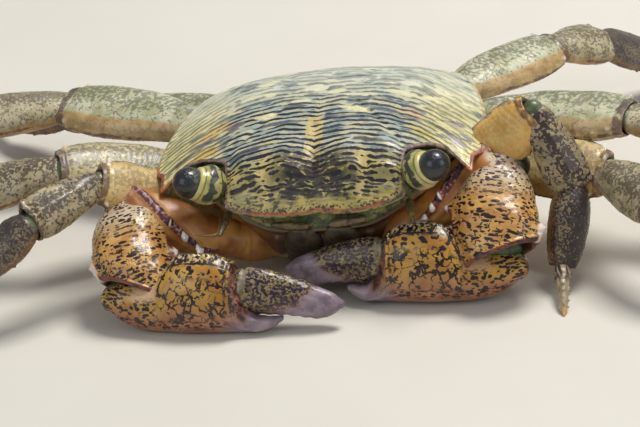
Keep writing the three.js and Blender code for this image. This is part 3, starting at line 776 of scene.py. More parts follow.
# Plates carried along an axis. table rows: share of the length, then the half widths toward +b, -b, +n
# and -n. A section is an oval with squared corners; each end is a round dome or a cup, the open rim of
# a plate that the next one leaves. relief(t, turn) lifts the skin, bend(t) moves the axis along b and
# n, skew(t) slants the section: millimetres along the axis for each millimetre across. marks(t, turn)
# gives three masks for the material. Turn 0 is toward +b, a quarter turn toward +n.
def loft(axis, table, around=48, rows=60, power=2.3, ends=("dome", "dome"), relief=None, bend=None,
         skew=None, marks=None, dome=0.7):
    table = np.asarray(table, float)
    t = np.linspace(table[0, 0], table[-1, 0], rows) if np.isscalar(rows) else np.asarray(rows)
    rows = len(t)
    ringSize = lambda at: curveThrough(np.array([at]), table)[0].reshape(2, 2).mean(1).min()
    quarter = np.linspace(np.pi / 2, 0, capRings + 1)[1:]
    caps = []
    for kind, at in zip(ends, (t[0], t[-1])):
        size = ringSize(at)
        if kind == "dome":
            caps.append((np.sin(quarter), np.cos(quarter) * dome * size, np.zeros(capRings)))
        else:
            caps.append((cupScale, cupPush * size, smooth(np.arange(float(capRings)), 2, 4)))
    first, last = caps
    t = np.concatenate([np.full(capRings, t[0]), t, np.full(capRings, t[-1])])
    scale = np.concatenate([first[0][::-1], np.ones(rows), last[0]])
    push = np.concatenate([-first[1][::-1], np.zeros(rows), last[1]])
    cup = np.concatenate([first[2][::-1], np.zeros(rows), last[2]])[:, None]
    halves = curveThrough(t, table)
    turn = np.linspace(0, 2 * np.pi, around, endpoint=False) - np.pi / 2
    squared = lambda v: np.sign(v) * np.abs(v) ** (2 / power)
    cosine, sine = squared(np.cos(turn)), squared(np.sin(turn))
    sizeB, sizeN = (halves[:, 0:1] + halves[:, 1:2]) / 2, (halves[:, 2:3] + halves[:, 3:4]) / 2
    centreB, centreN = halves[:, 0:1] - sizeB, halves[:, 2:3] - sizeN
    alongB, alongN = cosine * sizeB * scale[:, None], sine * sizeN * scale[:, None]
    shares, turns = np.broadcast_arrays(t[:, None], turn[None])
    if relief is not None:
        lift = relief(shares, turns) * np.clip(scale[:, None], 0, 1) ** 2 * (1 - cup)
        reach = np.hypot(alongB, alongN) + 1e-6
        alongB, alongN = alongB + lift * alongB / reach, alongN + lift * alongN / reach
    distance = np.broadcast_to((t * axis["length"] + push)[:, None], turns.shape)
    if skew is not None:
        distance = distance + skew(t)[:, None] * alongB
    shift = bend(t) if bend is not None else np.zeros((len(t), 2))
    alongB, alongN = alongB + centreB + shift[:, 0:1], alongN + centreN + shift[:, 1:2]
    grid = (axis["start"] + distance[..., None] * axis["d"] + alongB[..., None] * axis["b"]
            + alongN[..., None] * axis["n"])
    given = stacked(0 * shares, *(marks(shares, turns) if marks else (0, 0, 0)))[..., 1:]
    place = stacked(distance, (turns - np.pi / 2) * (sizeB + sizeN) / 2, shares)
    facing = stacked(np.cos(turns), np.sin(turns), cup)
    return closedSkin(grid, {"place": place, "facing": facing, "marks": given})


def apart(turns, centre):  # the angle between places round a section and a given one, in radians
    return np.abs((turns - centre + np.pi) % (2 * np.pi) - np.pi)


def streak(turns, centre, width):  # a bell curve round a section, running along the plate
    return hump(apart(turns, centre), 0, width)


# Cones on a plate, each (share, turn, radius, height) with sizes in millimetres: the lift, and how
# near the tip of a cone a place is.
def teeth(shares, turns, length, radius, cones):
    lift, tip = np.zeros(shares.shape), np.zeros(shares.shape)
    for t, turn, size, height in cones:
        cone = np.clip(1 - np.hypot((shares - t) * length, apart(turns, turn) * radius) / size, 0, 1)
        lift = np.maximum(lift, height * cone ** 1.2)
        tip = np.maximum(tip, smooth(cone, 0.25, 0.7))
    return lift, tip


# The body under the back, a ring of walls drawn in to the sternum: (half width, front, rear, share
# of the drop), with the eye sockets pressed into it.
underBody = {
    "walls": [(15.9, 1.9, 26.6, 0), (15.7, 1.5, 26.4, 0.14), (14.6, 1.3, 26.0, 0.32),
              (12.9, 1.4, 25.2, 0.52), (11.2, 2.0, 24.2, 0.72), (9.8, 3.2, 22.8, 0.9),
              (8.4, 5.0, 21.2, 1)],
    "bottom": -10.2, "around": 300, "rows": 120, "power": 2.5, "lidGap": 1.2, "socket": (1.75, 2.0),
}


def eyeAxis(side):  # from the foot of an eye's stalk to the tip of the eye
    stalk, eye = nodePoints("eyestalk_" + side), nodePoints("eye_" + side)
    base = farthest(stalk, eye.mean(0))
    tip = farthest(eye, base)
    return farthest(stalk, tip), tip


# Whatever of the walls lies ahead of an eye's capsule moves back to the capsule's far wall.
def pressSockets(grid, movable):
    narrow, broad = underBody["socket"]
    for side in ("left", "right"):
        base, tip = eyeAxis(side)
        length = np.linalg.norm(tip - base)
        outward = unit(tip - base)
        inward = unit(np.array([0, 1, 0]) - outward[1] * outward)
        away = grid - base
        along = away @ outward
        nearest = np.clip(along, 0, length)
        radius = narrow + (broad - narrow) * nearest / length
        off = away - nearest[..., None] * outward
        deep = off @ inward
        gap = np.linalg.norm(off - deep[..., None] * inward, axis=-1)
        wall = np.sqrt(np.maximum(radius ** 2 - gap ** 2, 0))
        inReach = (gap < radius) & (along > -0.5) & (along < length + 1.5) & movable
        grid = grid + inward * (np.maximum(wall - deep, 0) * inReach)[..., None]
    return grid


# Rows from the middle of the lid under the back, over its edge, down the walls to the sternum. The
# relief is a crest under the front and the eyes, furrows of the mouth frame and low grains.
def makeUnderside():
    own = underBody
    turns = np.linspace(0, 2 * np.pi, own["around"], endpoint=False)
    cosine, sine = np.cos(turns), np.sin(turns)
    squared = lambda v: np.sign(v) * np.abs(v) ** (2 / own["power"])
    walls = [(i, *row) for i, row in enumerate(own["walls"])]
    last = len(walls) - 1
    lidScale, floorScale = [0, 0.35, 0.65, 0.85, 0.95], [0.97, 0.9, 0.7, 0.45, 0.2, 0]
    scale = np.concatenate([lidScale, np.ones(own["rows"]), floorScale])[:, None]
    wallLevels = np.linspace(0, last, own["rows"])
    level = np.concatenate([0 * np.array(lidScale), wallLevels, [float(last)] * len(floorScale)])[:, None]
    half, front, rear, share = np.moveaxis(curveThrough(level[:, 0], walls)[..., None], 1, 0)
    x = squared(cosine) * half * scale
    y = (front + rear) / 2 + squared(sine) * (rear - front) / 2 * scale
    topHalf, topFront, topRear, _ = own["walls"][0]
    topX = squared(cosine) * topHalf
    topY = (topFront + topRear) / 2 + squared(sine) * (topRear - topFront) / 2
    lid = backHeight(x, y) - own["lidGap"]
    lidEdge = (backHeight(topX, topY) - own["lidGap"])[None]
    z = np.where(level > 0, lidEdge + (own["bottom"] - lidEdge) * share, lid)
    z = z - 0.25 * (1 - scale) * (level == last)
    crest = -5.0 + 2.5 * smooth(np.abs(x), 4.5, 12.5)
    lift = 0.5 * hump(z, crest, 0.34) - 0.3 * hump(z, crest - 0.8, 0.45)
    lift = lift - 0.25 * hump(z, -3.6, 0.5) * hump(x, 0, 7)
    lift = lift + 0.3 * hump(np.abs(x), 5.2, 0.35) * smooth(-z, 5.6, 6.6)
    lift = lift - 0.2 * hump(np.abs(x), 4.3, 0.4) * smooth(-z, 5.8, 6.8)
    place = stacked(x, y, z)
    lift = lift * smooth(-sine, 0.1, 0.5) * (scale == 1) + 0.06 * wander(place, 0.8, 9)
    outward = cosine[:, None] * across + sine[:, None] * np.array([0, 1, 0])
    grid = inBody(x, y, z) + outward * lift[..., None]
    return closedSkin(pressSockets(grid, (scale == 1) & (sine < 0.2)), {"place": place})


# Orange walls, darkened in part as painted shade, paler at the bottom and painted dark brown toward the
# middle as shade under the front and mouth, with a green strip over the crest.
def undersideMaterial():
    material, shader, here = newMaterial("orange underside", 0.48, 0.12, 0.25)
    x, y, z = numbers(here, "place")
    side = absolute(x)
    crest = grade(above(side, 4.5, 12.5), 2.5, -5.0)
    over = above(minus(z, crest), 0.1, 0.5)
    tone = noise(here, 0.5, 3.0)
    orange = mixed(above(tone, 0.35, 0.7), paint("a5672a"), paint("c08840"))
    # painted shade: dark brown toward the middle, where the front and the mouth shade the walls
    orange = mixed(times(above(side, 11.5, 5.0), 0.85), orange, paint("3c281a"))
    pale = mixed(above(tone, 0.4, 0.6), paint("d2b98c"), paint("e0cda6"))
    ground = mixed(above(z, -9.6, -8.4), pale, orange)
    green = drift(here, 0.9, "5c6a3c", "9c9a58", 0.4, 0.62, 2.0)
    ground = mixed(over, ground, green)
    blotch = mottling(here, 0.7, 0.44, 0.06)
    ground = mixed(times(blotch, grade(over, 0.65, 0.12)), ground, paint("34302c"))
    ridge = times(below(absolute(minus(z, crest)), 0.12, 0.34), below(y, 5.0, 8.0))
    ground = mixed(times(ridge, 0.6), ground, paint("6e6452"))
    colour(shader, ground)
    wet = wetSpeckle(here, 0.4, 0.35)
    join(grade(wet["Bead"], -0.2, 0.42), shader.inputs["Roughness"])
    bumped(shader, wet["Grains"], 0.04)
    return material


underside = undersideMaterial()
addPiece("body_walls", [makeUnderside()], underside, ["body_underside"])


# The tail, folded under the body: seven plates in a row along the CAD plate, each overlapping the next.
tail = {
    "rear": (0, 24.8, -10.9), "front": (0, 8.4, -10.9), "plates": 7, "step": 0.12,
    "rows": [(0, 3.3, 3.3, 5.1, -4.1), (0.1, 3.5, 3.5, 2.75, -1.65), (0.22, 3.4, 3.4, 1.25, -0.15),
             (0.4, 2.9, 2.9, 0.5, 0.5), (0.75, 2.0, 2.0, 0.5, 0.5), (1, 1.0, 1.0, 0.45, 0.45)],
}


def makeAbdomen():  # the relief is a saw that steps up at the start of each plate
    axis = plateFrame(inBody(*tail["rear"]), inBody(*tail["front"]), across)
    if axis["n"][2] < 0:
        axis["n"] = -axis["n"]

    def relief(t, turn):
        step = (t * tail["plates"]) % 1
        return tail["step"] * (1 - step) * smooth(step, 0, 0.12)

    skin = loft(axis, tail["rows"], 64, 120, 2.2, relief=relief)
    local = skin["points"] - bodyOrigin
    skin["fields"] = {"place": stacked(local @ across, local[:, 1], local @ upward)}
    return skin


addPiece("tail_plates", [makeAbdomen()], underside, ["abdomen"])

# Depths are measured back from the tip of the eye; the stalk's rows are depth and radius.
eye = {
    "depth": 3.6, "radius": 1.7, "stalkStart": 1.9, "stalkEnd": 6.7, "leanUp": 0.3, "leanBack": 0.28,
    "stalk": [(1.9, 0.0), (2.1, 0.9), (2.3, 1.45), (2.38, 1.64), (2.5, 1.76), (2.75, 1.82), (3.1, 1.94),
              (3.7, 2.1), (4.4, 2.08), (5.1, 1.75), (5.7, 1.25), (6.3, 0.7), (6.7, 0.0)],
}


# An eye: a glossy cornea, an ellipsoid, set slantwise in the cream ring of a swollen banded stalk. The
# ring leans back on its upper and inner side, where the cornea reaches farther.
def makeEye(side):
    base, tip = eyeAxis(side)
    d = unit(base - tip)
    b = unit(np.cross(d, np.cross((0, 0, 1.0), d)))
    turn = np.linspace(0, 2 * np.pi, 112, endpoint=False)
    ring = np.cos(turn)[:, None] * b + np.sin(turn)[:, None] * np.cross(d, b)
    polar = np.linspace(0, np.pi, 64)[:, None]
    depth = eye["depth"] / 2 * (1 - np.cos(polar))
    wide = eye["radius"] * np.sin(polar) ** 0.94
    cornea = tip + depth[..., None] * d + wide[..., None] * ring
    spot = stacked(depth, wide * np.cos(turn), wide * np.sin(turn))
    skin = closedSkin(cornea, {"place": spot})
    addPiece("cornea_" + side, [skin], corneaMaterial, ["eye_" + side])
    start, end = eye["stalkStart"], eye["stalkEnd"]
    depths = np.concatenate([np.linspace(start, 3.2, 50), np.linspace(3.25, end, 52)])[:, None]
    radius = curveThrough(depths[:, 0], eye["stalk"])
    radius[0] = radius[-1] = 0
    lean = ring @ np.array([0, eye["leanBack"], eye["leanUp"]])
    slant = lean * (1 - smooth(depths, 3.0, 5.0)) * smooth(depths, start, 2.3)
    swollen = radius * (1 + 0.04 * np.cos(2 * turn) * smooth(depths, 3, 4))
    stalk = tip + (depths + slant)[..., None] * d + swollen[..., None] * ring
    stalk[0], stalk[-1] = stalk[0].mean(0), stalk[-1].mean(0)
    skin = closedSkin(stalk, {"place": stacked(depths, -ring[:, 2], 0)})
    addPiece("stalk_" + side, [skin], stalkMaterial, ["eyestalk_" + side])


# Nearly black and glossy, greener behind, with a darker upright bar in the middle and a fine mesh.
def makeCorneaMaterial():
    material, shader, here = newMaterial("dark cornea", 0.12, 0.3, 0.03)
    depth, u, v = numbers(here, "place")
    ground = drift(here, 0.8, "14161b", "23262c")
    ground = mixed(times(above(depth, 1.0, 2.4), 0.8), ground, paint("495143"))
    bar = times(below(absolute(v), 0.12, 0.45), below(absolute(u), 0.5, 1.1))
    ground = mixed(times(bar, 0.6), ground, paint("101214"))
    mesh = below(cells(here, 11.0, "DISTANCE_TO_EDGE"), 0.02, 0.14)
    ground = mixed(times(mesh, 0.25), ground, paint("15181a"))
    colour(shader, ground)
    bumped(shader, mesh, 0.004)
    return material


# Olive with two dark bands and spots, cream below and on the ring that holds the cornea.
def makeStalkMaterial():
    material, shader, here = newMaterial("banded stalk", 0.3, 0.4, 0.1)
    depth, low, _ = numbers(here, "place")
    at = grade(minus(noise(here, 1.1), 0.5), 1.3, depth)
    ground = drift(here, 0.8, "8b8f4a", "bdb468")
    band = below(absolute(minus(at, 3.75)), 0.3, 0.45)
    inner = below(absolute(minus(at, 4.9)), 0.12, 0.26)
    spots = mottling(here, 0.8, 0.44, 0.05, 1.0)
    dark = times(most(band, inner, times(spots, above(depth, 3.2, 3.6))), below(low, 0.55, 0.8))
    ground = mixed(times(above(low, 0.5, 0.85), 0.8), ground, paint("cfc394"))
    ground = mixed(times(dark, 0.94), ground, paint("282a36"))
    ring = below(depth, 2.7, 2.82)
    ground = mixed(ring, ground, drift(here, 0.9, "c3b26c", "d9cc98"))
    groove = below(absolute(minus(depth, 2.92)), 0.03, 0.1)
    ground = mixed(times(groove, 0.7), ground, paint("4a4630"))
    colour(shader, ground)
    bumped(shader, wetSpeckle(here, 0.3, 0.4)["Grains"], 0.03)
    return material


corneaMaterial, stalkMaterial = makeCorneaMaterial(), makeStalkMaterial()
for side in ("left", "right"):
    makeEye(side)


# Feelers: a thick ringed base with a radius for each end and the middle, then a thin lash if it has one.
feelers = {
    "antenna": {"rings": 4, "radii": (0.42, 0.34, 0.17), "lash": 2.4, "slot": "stalk"},
    "antennule": {"rings": 3, "radii": (0.3, 0.42, 0.28), "lash": 0, "slot": "mouthparts"},
}


def evenRows(pairs):  # loft rows as wide one way as the other, from shares and radii
    return [(t, radius, radius, radius, radius) for t, radius in pairs]


# From the farthest corner of its CAD plate to the corner opposite; the relief is a row of humps.
def makeFeeler(kind, side, material):
    own, name = feelers[kind], kind + "_" + side
    points = nodePoints(name)
    start = farthest(points, points.mean(0))
    end = farthest(points, start)
    if start[1] < end[1]:
        start, end = end, start
    axis = plateFrame(start, end, upward)
    relief = lambda t, turn: 0.06 * np.abs(np.sin(np.pi * own["rings"] * t))
    skins = [loft(axis, evenRows(zip((0, 0.5, 1), own["radii"])), 24, 70, 2.0, relief=relief)]
    if own["lash"]:
        outward = unit(0.25 * axis["d"] + np.sign(end[0]) * across)
        lash = plateFrame(end - axis["d"] * 0.3, end + outward * own["lash"], upward)
        relief = lambda t, turn: 0.02 * np.sin(np.pi * 30 * t)
        droop = lambda t: stacked(0.7 * t * t, 0 * t)
        thin = evenRows([(0, own["radii"][2] * 0.8), (1, 0.06)])
        skins.append(loft(lash, thin, 16, 120, 2.0, relief=relief, bend=droop))
    addPiece(name + "_shell", skins, material, [name])


# Mouth plates; longer is their length over the CAD plate's.
mouthPlate = {
    "longer": 1.04,
    "rows": [(-0.02, 1.4, 1.4, 0.6, 0.5), (0.2, 2.0, 2.0, 0.75, 0.6), (0.45, 2.05, 2.05, 0.72, 0.6),
             (0.5, 1.9, 1.9, 0.55, 0.5), (0.55, 2.0, 2.0, 0.7, 0.6), (0.8, 1.8, 1.8, 0.7, 0.6),
             (1, 1.1, 1.1, 0.5, 0.5)],
}


# An outer mouth plate: a leaf with a groove down its face and a notch at its joint. It runs from the
# middle of the CAD plate's eight highest corners to the middle of its eight lowest.
def makeMouthPlate(side):
    name = "maxilliped_" + side
    points = nodePoints(name)
    order = np.argsort(points[:, 2])
    axis = plateFrame(points[order[-8:]].mean(0), points[order[:8]].mean(0), across)
    axis["length"] *= mouthPlate["longer"]
    relief = lambda t, turn: -0.18 * streak(turn, np.pi / 2, 0.25) * smooth(t, 0.05, 0.2)
    skin = loft(axis, mouthPlate["rows"], 56, 80, 2.6, relief=relief)
    addPiece(name + "_shell", [skin], mouthMaterial, [name])


# Brown with dark blotches, between two paints, darkened in part as painted shade under the front margin.
def makeMouthMaterial(name, low, high):
    material, shader, here = newMaterial(name, 0.45, 0.2, 0.2)
    blotch = mottling(here, 0.6, 0.42)
    colour(shader, mixed(times(blotch, 0.7), drift(here, 0.7, low, high), paint("2f2630")))
    bumped(shader, wetSpeckle(here, 0.3, 0.4)["Grains"], 0.03)
    return material


# painted shade: both browns are kept dark for the shade under the front
mouthMaterial = makeMouthMaterial("brown mouthparts", "33291c", "51452e")
feelerMaterial = makeMouthMaterial("olive feelers", "54482a", "7c6a3c")
for side in ("left", "right"):
    for kind in feelers:
        makeFeeler(kind, side, feelerMaterial)
    makeMouthPlate(side)
print("made the body, eyes and mouthparts")

# Claws. sign is +1 for the crab's left claw and -1 for its right. crest is where the arm's toothed edge
# starts, in radians round it, and how far it runs on; teeth are shares of the arm and sizes; finger is
# where the fixed finger ends, as a share of the palm; elbowSkin is how far the skin at the elbow is
# moved and half its breadth; wrist holds the wrist plate's rows and spine the share of its spine.
claws = {
    "left": {"sign": 1, "merusEdge": (0.4, -0.8, -0.45), "carpusEdge": (1, 0.1, 0.12), "slant": -0.46,
             "crest": (1.1, 1.33), "teeth": [(0.05, 1.3), (0.2, 0.7), (0.33, 0.45)], "finger": 0.885,
             "elbowSkin": (0.6, 2.7), "spine": 0.56,
             "wrist": [(0, 2.1, 1.7, 1.7, 1.6), (0.14, 3.2, 2.7, 2.5, 2.3), (0.3, 4.0, 3.7, 3.0, 2.7),
                       (0.5, 4.5, 4.2, 3.3, 3.0), (0.7, 4.8, 3.9, 3.3, 3.0), (0.88, 5.0, 3.0, 3.1, 2.8),
                       (1.08, 4.9, 2.0, 2.8, 2.6)]},
    "right": {"sign": -1, "merusEdge": (-0.3, -0.85, -0.4), "carpusEdge": (-1, 0, 0.1), "slant": -0.72,
              "crest": (0.5, 2.1), "teeth": [(0.14, 1.1), (0.32, 0.9), (0.5, 0.4)], "finger": 0.93,
              "elbowSkin": (-0.4, 1.7), "spine": 0.66,
              "wrist": [(0, 1.9, 2.3, 1.7, 1.6), (0.14, 3.0, 3.3, 2.5, 2.3), (0.3, 3.8, 3.6, 3.0, 2.7),
                        (0.5, 4.25, 3.7, 3.3, 3.0), (0.75, 4.3, 3.6, 3.3, 3.0), (0.95, 4.1, 3.2, 3.1, 2.8),
                        (1.15, 3.8, 2.5, 2.7, 2.6)]},
}
palmTop = (0, 0.3, 1)
# How far each joint lies in from the farthest corner of its CAD plate, as a depth or as a place.
clawInsets = {"elbow": 1.19, "wrist": 1.89, "arm": 1.12, "root": 1.05, "heel": (1.21, -0.18, -0.8),
              "finger": (-0.29, -0.84, -1.95), "knuckle": (0.94, 0, 0.32), "tip": (-0.48, -0.11, -0.48)}


def clawAxes(side):  # the frame of each plate of a claw, from its joints
    own, inset = claws[side], clawInsets
    parts = ("ischium", "merus", "carpus", "palm", "dactyl")
    ischium, merus, carpus, palmPoints, dactyl = (nodePoints("claw_" + side + "_" + p) for p in parts)
    tip = farthest(dactyl, palmPoints.mean(0))
    knuckle = farthest(dactyl, tip)
    finger = farthest(palmPoints, carpus.mean(0))
    heel = farthest(palmPoints, finger)
    pole = farthest(carpus, palmPoints.mean(0))
    down = unit(carpus.mean(0) - pole)
    reach = ((carpus - pole) @ down).max()
    elbow, wrist = pole + inset["elbow"] * down, pole + (reach - inset["wrist"]) * down
    arm = farthest(merus, pole)
    arm = arm + inset["arm"] * unit(elbow - arm)
    root = farthest(ischium, arm)
    root = root + inset["root"] * unit(arm - root)
    moved = lambda place, key: place - np.array(inset[key]) * (own["sign"], 1, 1)
    return {
        "ischium": plateFrame(root, arm, own["merusEdge"]),
        "merus": plateFrame(arm, elbow, own["merusEdge"]),
        "carpus": plateFrame(elbow, wrist, own["carpusEdge"]),
        "palm": plateFrame(moved(heel, "heel"), moved(finger, "finger"), palmTop),
        "dactyl": plateFrame(moved(knuckle, "knuckle"), moved(tip, "tip"), palmTop),
    }


def scaled(shares, tall, deep):  # rows in shares of a half height and a half depth as millimetres
    return [(t, up * tall, low * tall, ahead * deep, rear * deep) for t, up, low, ahead, rear in shares]


# Palm and fixed finger in shares of the palm's half height and half thickness. The finger starts at
# fingerAt, and its rows are stretched to end where the claw's own finger does.
palm = {
    "tall": 4.15, "deep": 2.8, "around": 132, "fingerAt": 0.74,
    "shares": [(0, 0.16, 0.5, 0.6, 0.6), (0.05, 0.26, 0.7, 0.72, 0.74), (0.12, 0.34, 0.87, 0.82, 0.86),
               (0.2, 0.37, 0.96, 0.9, 0.94), (0.27, 0.46, 1, 0.94, 0.98), (0.31, 0.68, 1, 0.98, 1),
               (0.36, 0.92, 1, 1.02, 1), (0.45, 1.03, 1, 1.06, 1), (0.57, 1.01, 0.98, 1.02, 0.96),
               (0.65, 0.9, 0.95, 0.92, 0.86), (0.68, 0.76, 0.94, 0.86, 0.8), (0.71, 0.28, 0.94, 0.72, 0.7),
               (0.74, -0.2, 0.93, 0.6, 0.6), (0.79, -0.48, 0.92, 0.5, 0.48), (0.84, -0.53, 0.86, 0.42, 0.4),
               (0.88, -0.52, 0.76, 0.32, 0.32), (0.91, -0.5, 0.64, 0.2, 0.2)],
}


# The palm swells to a keel along its top and a low one below, has a raised margin round the knuckle,
# and its finger carries low blunt teeth.
def makePalm(axis, end):
    length = axis["length"]
    root, tip = palm["fingerAt"], palm["shares"][-1][0]
    stretch = (end - root) / (tip - root)
    shares = [(min(t, root) + max(t - root, 0) * stretch, *rest) for t, *rest in palm["shares"]]

    def relief(t, turn):
        keel = streak(turn, 0.22, 0.085) * within(t, 0.31, 0.4, 0.63, 0.68)
        grains = 0.75 + 0.25 * np.cos(2 * np.pi * t * length / 0.52)
        lower = streak(turn, 2.35, 0.12) * within(t, 0.2, 0.4, 0.9, 0.98)
        lip = hump(t, 0.672, 0.011) * (1 - smooth(apart(turn, 0.6), 1.3, 1.8))
        groove = hump(t, 0.645, 0.014) * (1 - smooth(apart(turn, 0.6), 1.3, 1.8))
        cusps = streak(turn, 0, 0.7) * within(t, 0.77, 0.81, 0.85, 0.9)
        cusps = cusps * (0.5 + 0.5 * np.cos(2 * np.pi * t * length / 1.1))
        flat = stacked(t * length, np.cos(turn) * 3.5, np.sin(turn) * 3.5)
        return (0.26 * keel * grains + 0.1 * lower + 0.16 * lip - 0.1 * groove + 0.12 * cusps
                + 0.07 * wander(flat, 1.7, 11) + 0.03 * wander(flat, 0.6, 12))

    def marks(t, turn):
        lines = streak(turn, 0.12, 0.07) + streak(turn, 0.62, 0.06)
        lines = lines * within(t, 0.33, 0.39, 0.64, 0.67)
        edge = 0.62 * hump(t, 0.655, 0.02) * (1 - smooth(apart(turn, 0.6), 1.35, 1.75))
        shoulder = 0.29 + 0.085 * smooth(turn, 1.1, 0.25)
        heel = hump(t, shoulder, 0.012) * within(turn, -0.3, 0.1, 1.0, 1.4)
        pale = smooth(-0.75 * np.cos(turn) + 1.25 * smooth(t, 0.56, 0.86) + 1.2 * smooth(t, 0.73, 0.8),
                      0.45, 1.25)
        knuckle = within(t, 0.665, 0.685, 0.74, 0.78) * smooth(np.cos(turn), -0.5, 0.1)
        return np.clip(np.maximum(np.maximum(lines, edge), heel), 0, 1), pale, knuckle

    stretches = [np.linspace(0, 0.3, 34), np.linspace(0.305, 0.76, 96), np.linspace(0.765, end, 28)]
    table = scaled(shares, palm["tall"], palm["deep"])
    return loft(axis, table, palm["around"], np.concatenate(stretches), 2.25, relief=relief, marks=marks,
                dome=0.8)


# The moving finger, in the same shares as the palm.
movingFinger = [
    (0, 0.5, 0.46, 0.5, 0.5), (0.06, 0.57, 0.52, 0.54, 0.54), (0.2, 0.6, 0.54, 0.54, 0.54),
    (0.5, 0.52, 0.46, 0.48, 0.48), (0.72, 0.4, 0.42, 0.42, 0.42), (0.84, 0.33, 0.39, 0.37, 0.38),
    (0.91, 0.29, 0.3, 0.32, 0.34), (0.96, 0.22, 0.2, 0.26, 0.28), (1, 0.17, 0.08, 0.18, 0.2),
]


# A ring groove at its root, a long groove on the side seen, grains above and low blunt teeth below.
def makeMovingFinger(axis):
    length = axis["length"]

    def relief(t, turn):
        flat = stacked(t * length, np.cos(turn) * 2, np.sin(turn) * 2)
        groove = -0.1 * streak(turn, 1.15, 0.16) * within(t, 0.12, 0.25, 0.7, 0.85)
        ring = -0.22 * hump(t, 0.035, 0.02)
        grains = 0.09 * np.maximum(wander(flat, 0.42, 14), 0) * smooth(np.cos(turn), -0.1, 0.5)
        cusps = streak(turn, np.pi, 0.6) * within(t, 0.15, 0.25, 0.85, 0.93)
        cusps = 0.1 * cusps * (0.5 + 0.5 * np.cos(2 * np.pi * t * length / 1.25))
        return groove + ring + grains * (1 - smooth(t, 0.7, 0.85)) + cusps + 0.05 * wander(flat, 1.3, 13)

    def marks(t, turn):
        low = np.cos(turn) + 0.1 * np.sin(turn)
        pale = smooth(1.5 * t - 0.45 * low + 0.5 * smooth(t, 0.55, 0.85), 0.6, 1.3)
        return (1 - smooth(t, 0.05, 0.09)) * smooth(t, 0.0, 0.02), pale, hump(t, 0.02, 0.03)

    table = scaled(movingFinger, palm["tall"], palm["deep"])
    return loft(axis, table, 72, 110, 2.2, relief=relief, marks=marks)


# The wrist plate: widest past its middle, with a spine on its inner edge, a blunt lobe on its outer
# corner, and an open slanted rim.
def makeWristPlate(axis, side):
    own = claws[side]
    end, length = own["wrist"][-1][0], axis["length"]
    cones = [(own["spine"], np.pi - 0.12, 0.75, 1.1), (end - 0.08, 0.15, 1.7, 1.1)]

    def relief(t, turn):
        lift, _ = teeth(t, turn, length, 4.2, cones)
        flat = stacked(t * length, np.cos(turn) * 4, np.sin(turn) * 3.2)
        edge = 0.28 * streak(turn, np.pi - 0.25, 0.12) * smooth(t, 0.3, 0.5)
        swell = 0.25 * hump(t, 0.62, 0.16) * streak(turn, 1.3, 0.6)
        rim = 0.1 * hump(t, end - 0.02, 0.02) - 0.08 * hump(t, end - 0.05, 0.015)
        bumps = 0.09 * np.maximum(wander(flat * (1, 0.55, 0.55), 0.5, 15), 0)
        return lift + edge + swell + rim + bumps + 0.08 * wander(flat, 1.8, 16)

    def marks(t, turn):
        _, tip = teeth(t, turn, length, 4.2, cones)
        edge = streak(turn, np.pi - 0.25, 0.1) * smooth(t, 0.5, 0.62)
        rim = np.maximum(smooth(t, end - 0.022, end - 0.01), edge)
        return rim, tip, 1 - smooth(t, 0.05, 0.32)

    slant = lambda t: own["slant"] * smooth(t, 0.45, 1)
    forward = lambda t: stacked(0 * t, 1.1 * smooth(t, 0.45, 1.0))
    return loft(axis, own["wrist"], 128, 120, 2.5, ("dome", "cup"), relief, forward, slant, marks)


# The arm, and the hip that carries its root.
armRows = [(0, 2.3, 1.7, 1.6, 1.6), (0.3, 3.0, 2.4, 2.1, 2.1), (0.7, 3.5, 3.1, 2.5, 2.5),
           (0.9, 3.4, 3.1, 2.5, 2.5), (1, 2.7, 2.7, 2.1, 2.1)]
armRootRows = [(0, 1.7, 1.7, 1.7, 1.7), (0.5, 1.95, 1.95, 1.85, 1.85), (1, 1.85, 1.85, 1.7, 1.7)]
hipPlace = (5.2, 7.0, -8.2)
hipRows = [(0, 1.75, 2.0, 1.8, 1.8), (0.25, 2.0, 2.5, 2.0, 2.0), (0.6, 2.1, 2.4, 2.2, 2.2),
           (1, 2.2, 1.9, 2.4, 2.4)]


# A three-sided plate whose front edge stands up as a crest that runs slantwise across the side seen
# from ahead, cut into sharp teeth near the body.
def makeArm(axis, side):
    first, slope = claws[side]["crest"]
    length = axis["length"]

    def crest(t, turn):
        flat = stacked(t * length, 0 * t, 0 * t)
        line = apart(turn, first + slope * (t - 0.15) + 0.05 * wander(flat, 1.3, 31))
        saw = 0 * t
        for at, size in claws[side]["teeth"]:
            saw = np.maximum(saw, size * np.clip(1 - np.abs(t - at) * length / (0.35 + 0.3 * size), 0, 1))
        low = 0.42 + 0.2 * wander(flat, 0.7, 33)
        tall = (low + 1.3 * saw) * smooth(t, -0.04, 0.06)
        return line, saw, tall

    def relief(t, turn):
        line, _, tall = crest(t, turn)
        flat = stacked(t * length, np.cos(turn) * 3, np.sin(turn) * 2.5)
        fold = -0.25 * streak(turn, first - 0.75 + slope * (t - 0.15), 0.22) * smooth(t, 0.1, 0.3)
        return tall * np.clip(1 - line / 0.3, 0, 1) ** 1.2 + fold + 0.08 * wander(flat, 1.1, 17)

    def marks(t, turn):
        line, saw, _ = crest(t, turn)
        near = 1 - smooth(line, 0.1, 0.27)
        tip = near * smooth(saw, 0.2, 0.5) * (1 - smooth(line, 0.08, 0.2))
        return near, tip, np.maximum(smooth(t, 0.9, 0.98), hump(t, 1, 0.05))

    return loft(axis, armRows, 120, 90, 2.2, ("dome", "cup"), relief, marks=marks)


# The arm's root, and the hip that goes in from it under the body, beside the sternum.
def makeArmRoot(axis, sign):
    swell = lambda t, turn: 0.08 * np.sin(np.pi * t)
    sideways, back, up = hipPlace
    hip = plateFrame(axis["start"] + axis["d"] * 0.6, inBody(sign * sideways, back, up), (0, 0, 1))
    knot = lambda t, turn: -0.1 * hump(t, 0.2, 0.05) - 0.08 * hump(t, 0.62, 0.05)
    return [loft(axis, armRootRows, 56, 30, 2.2, ("dome", "cup"), swell),
            loft(hip, hipRows, 64, 60, 2.3, relief=knot)]
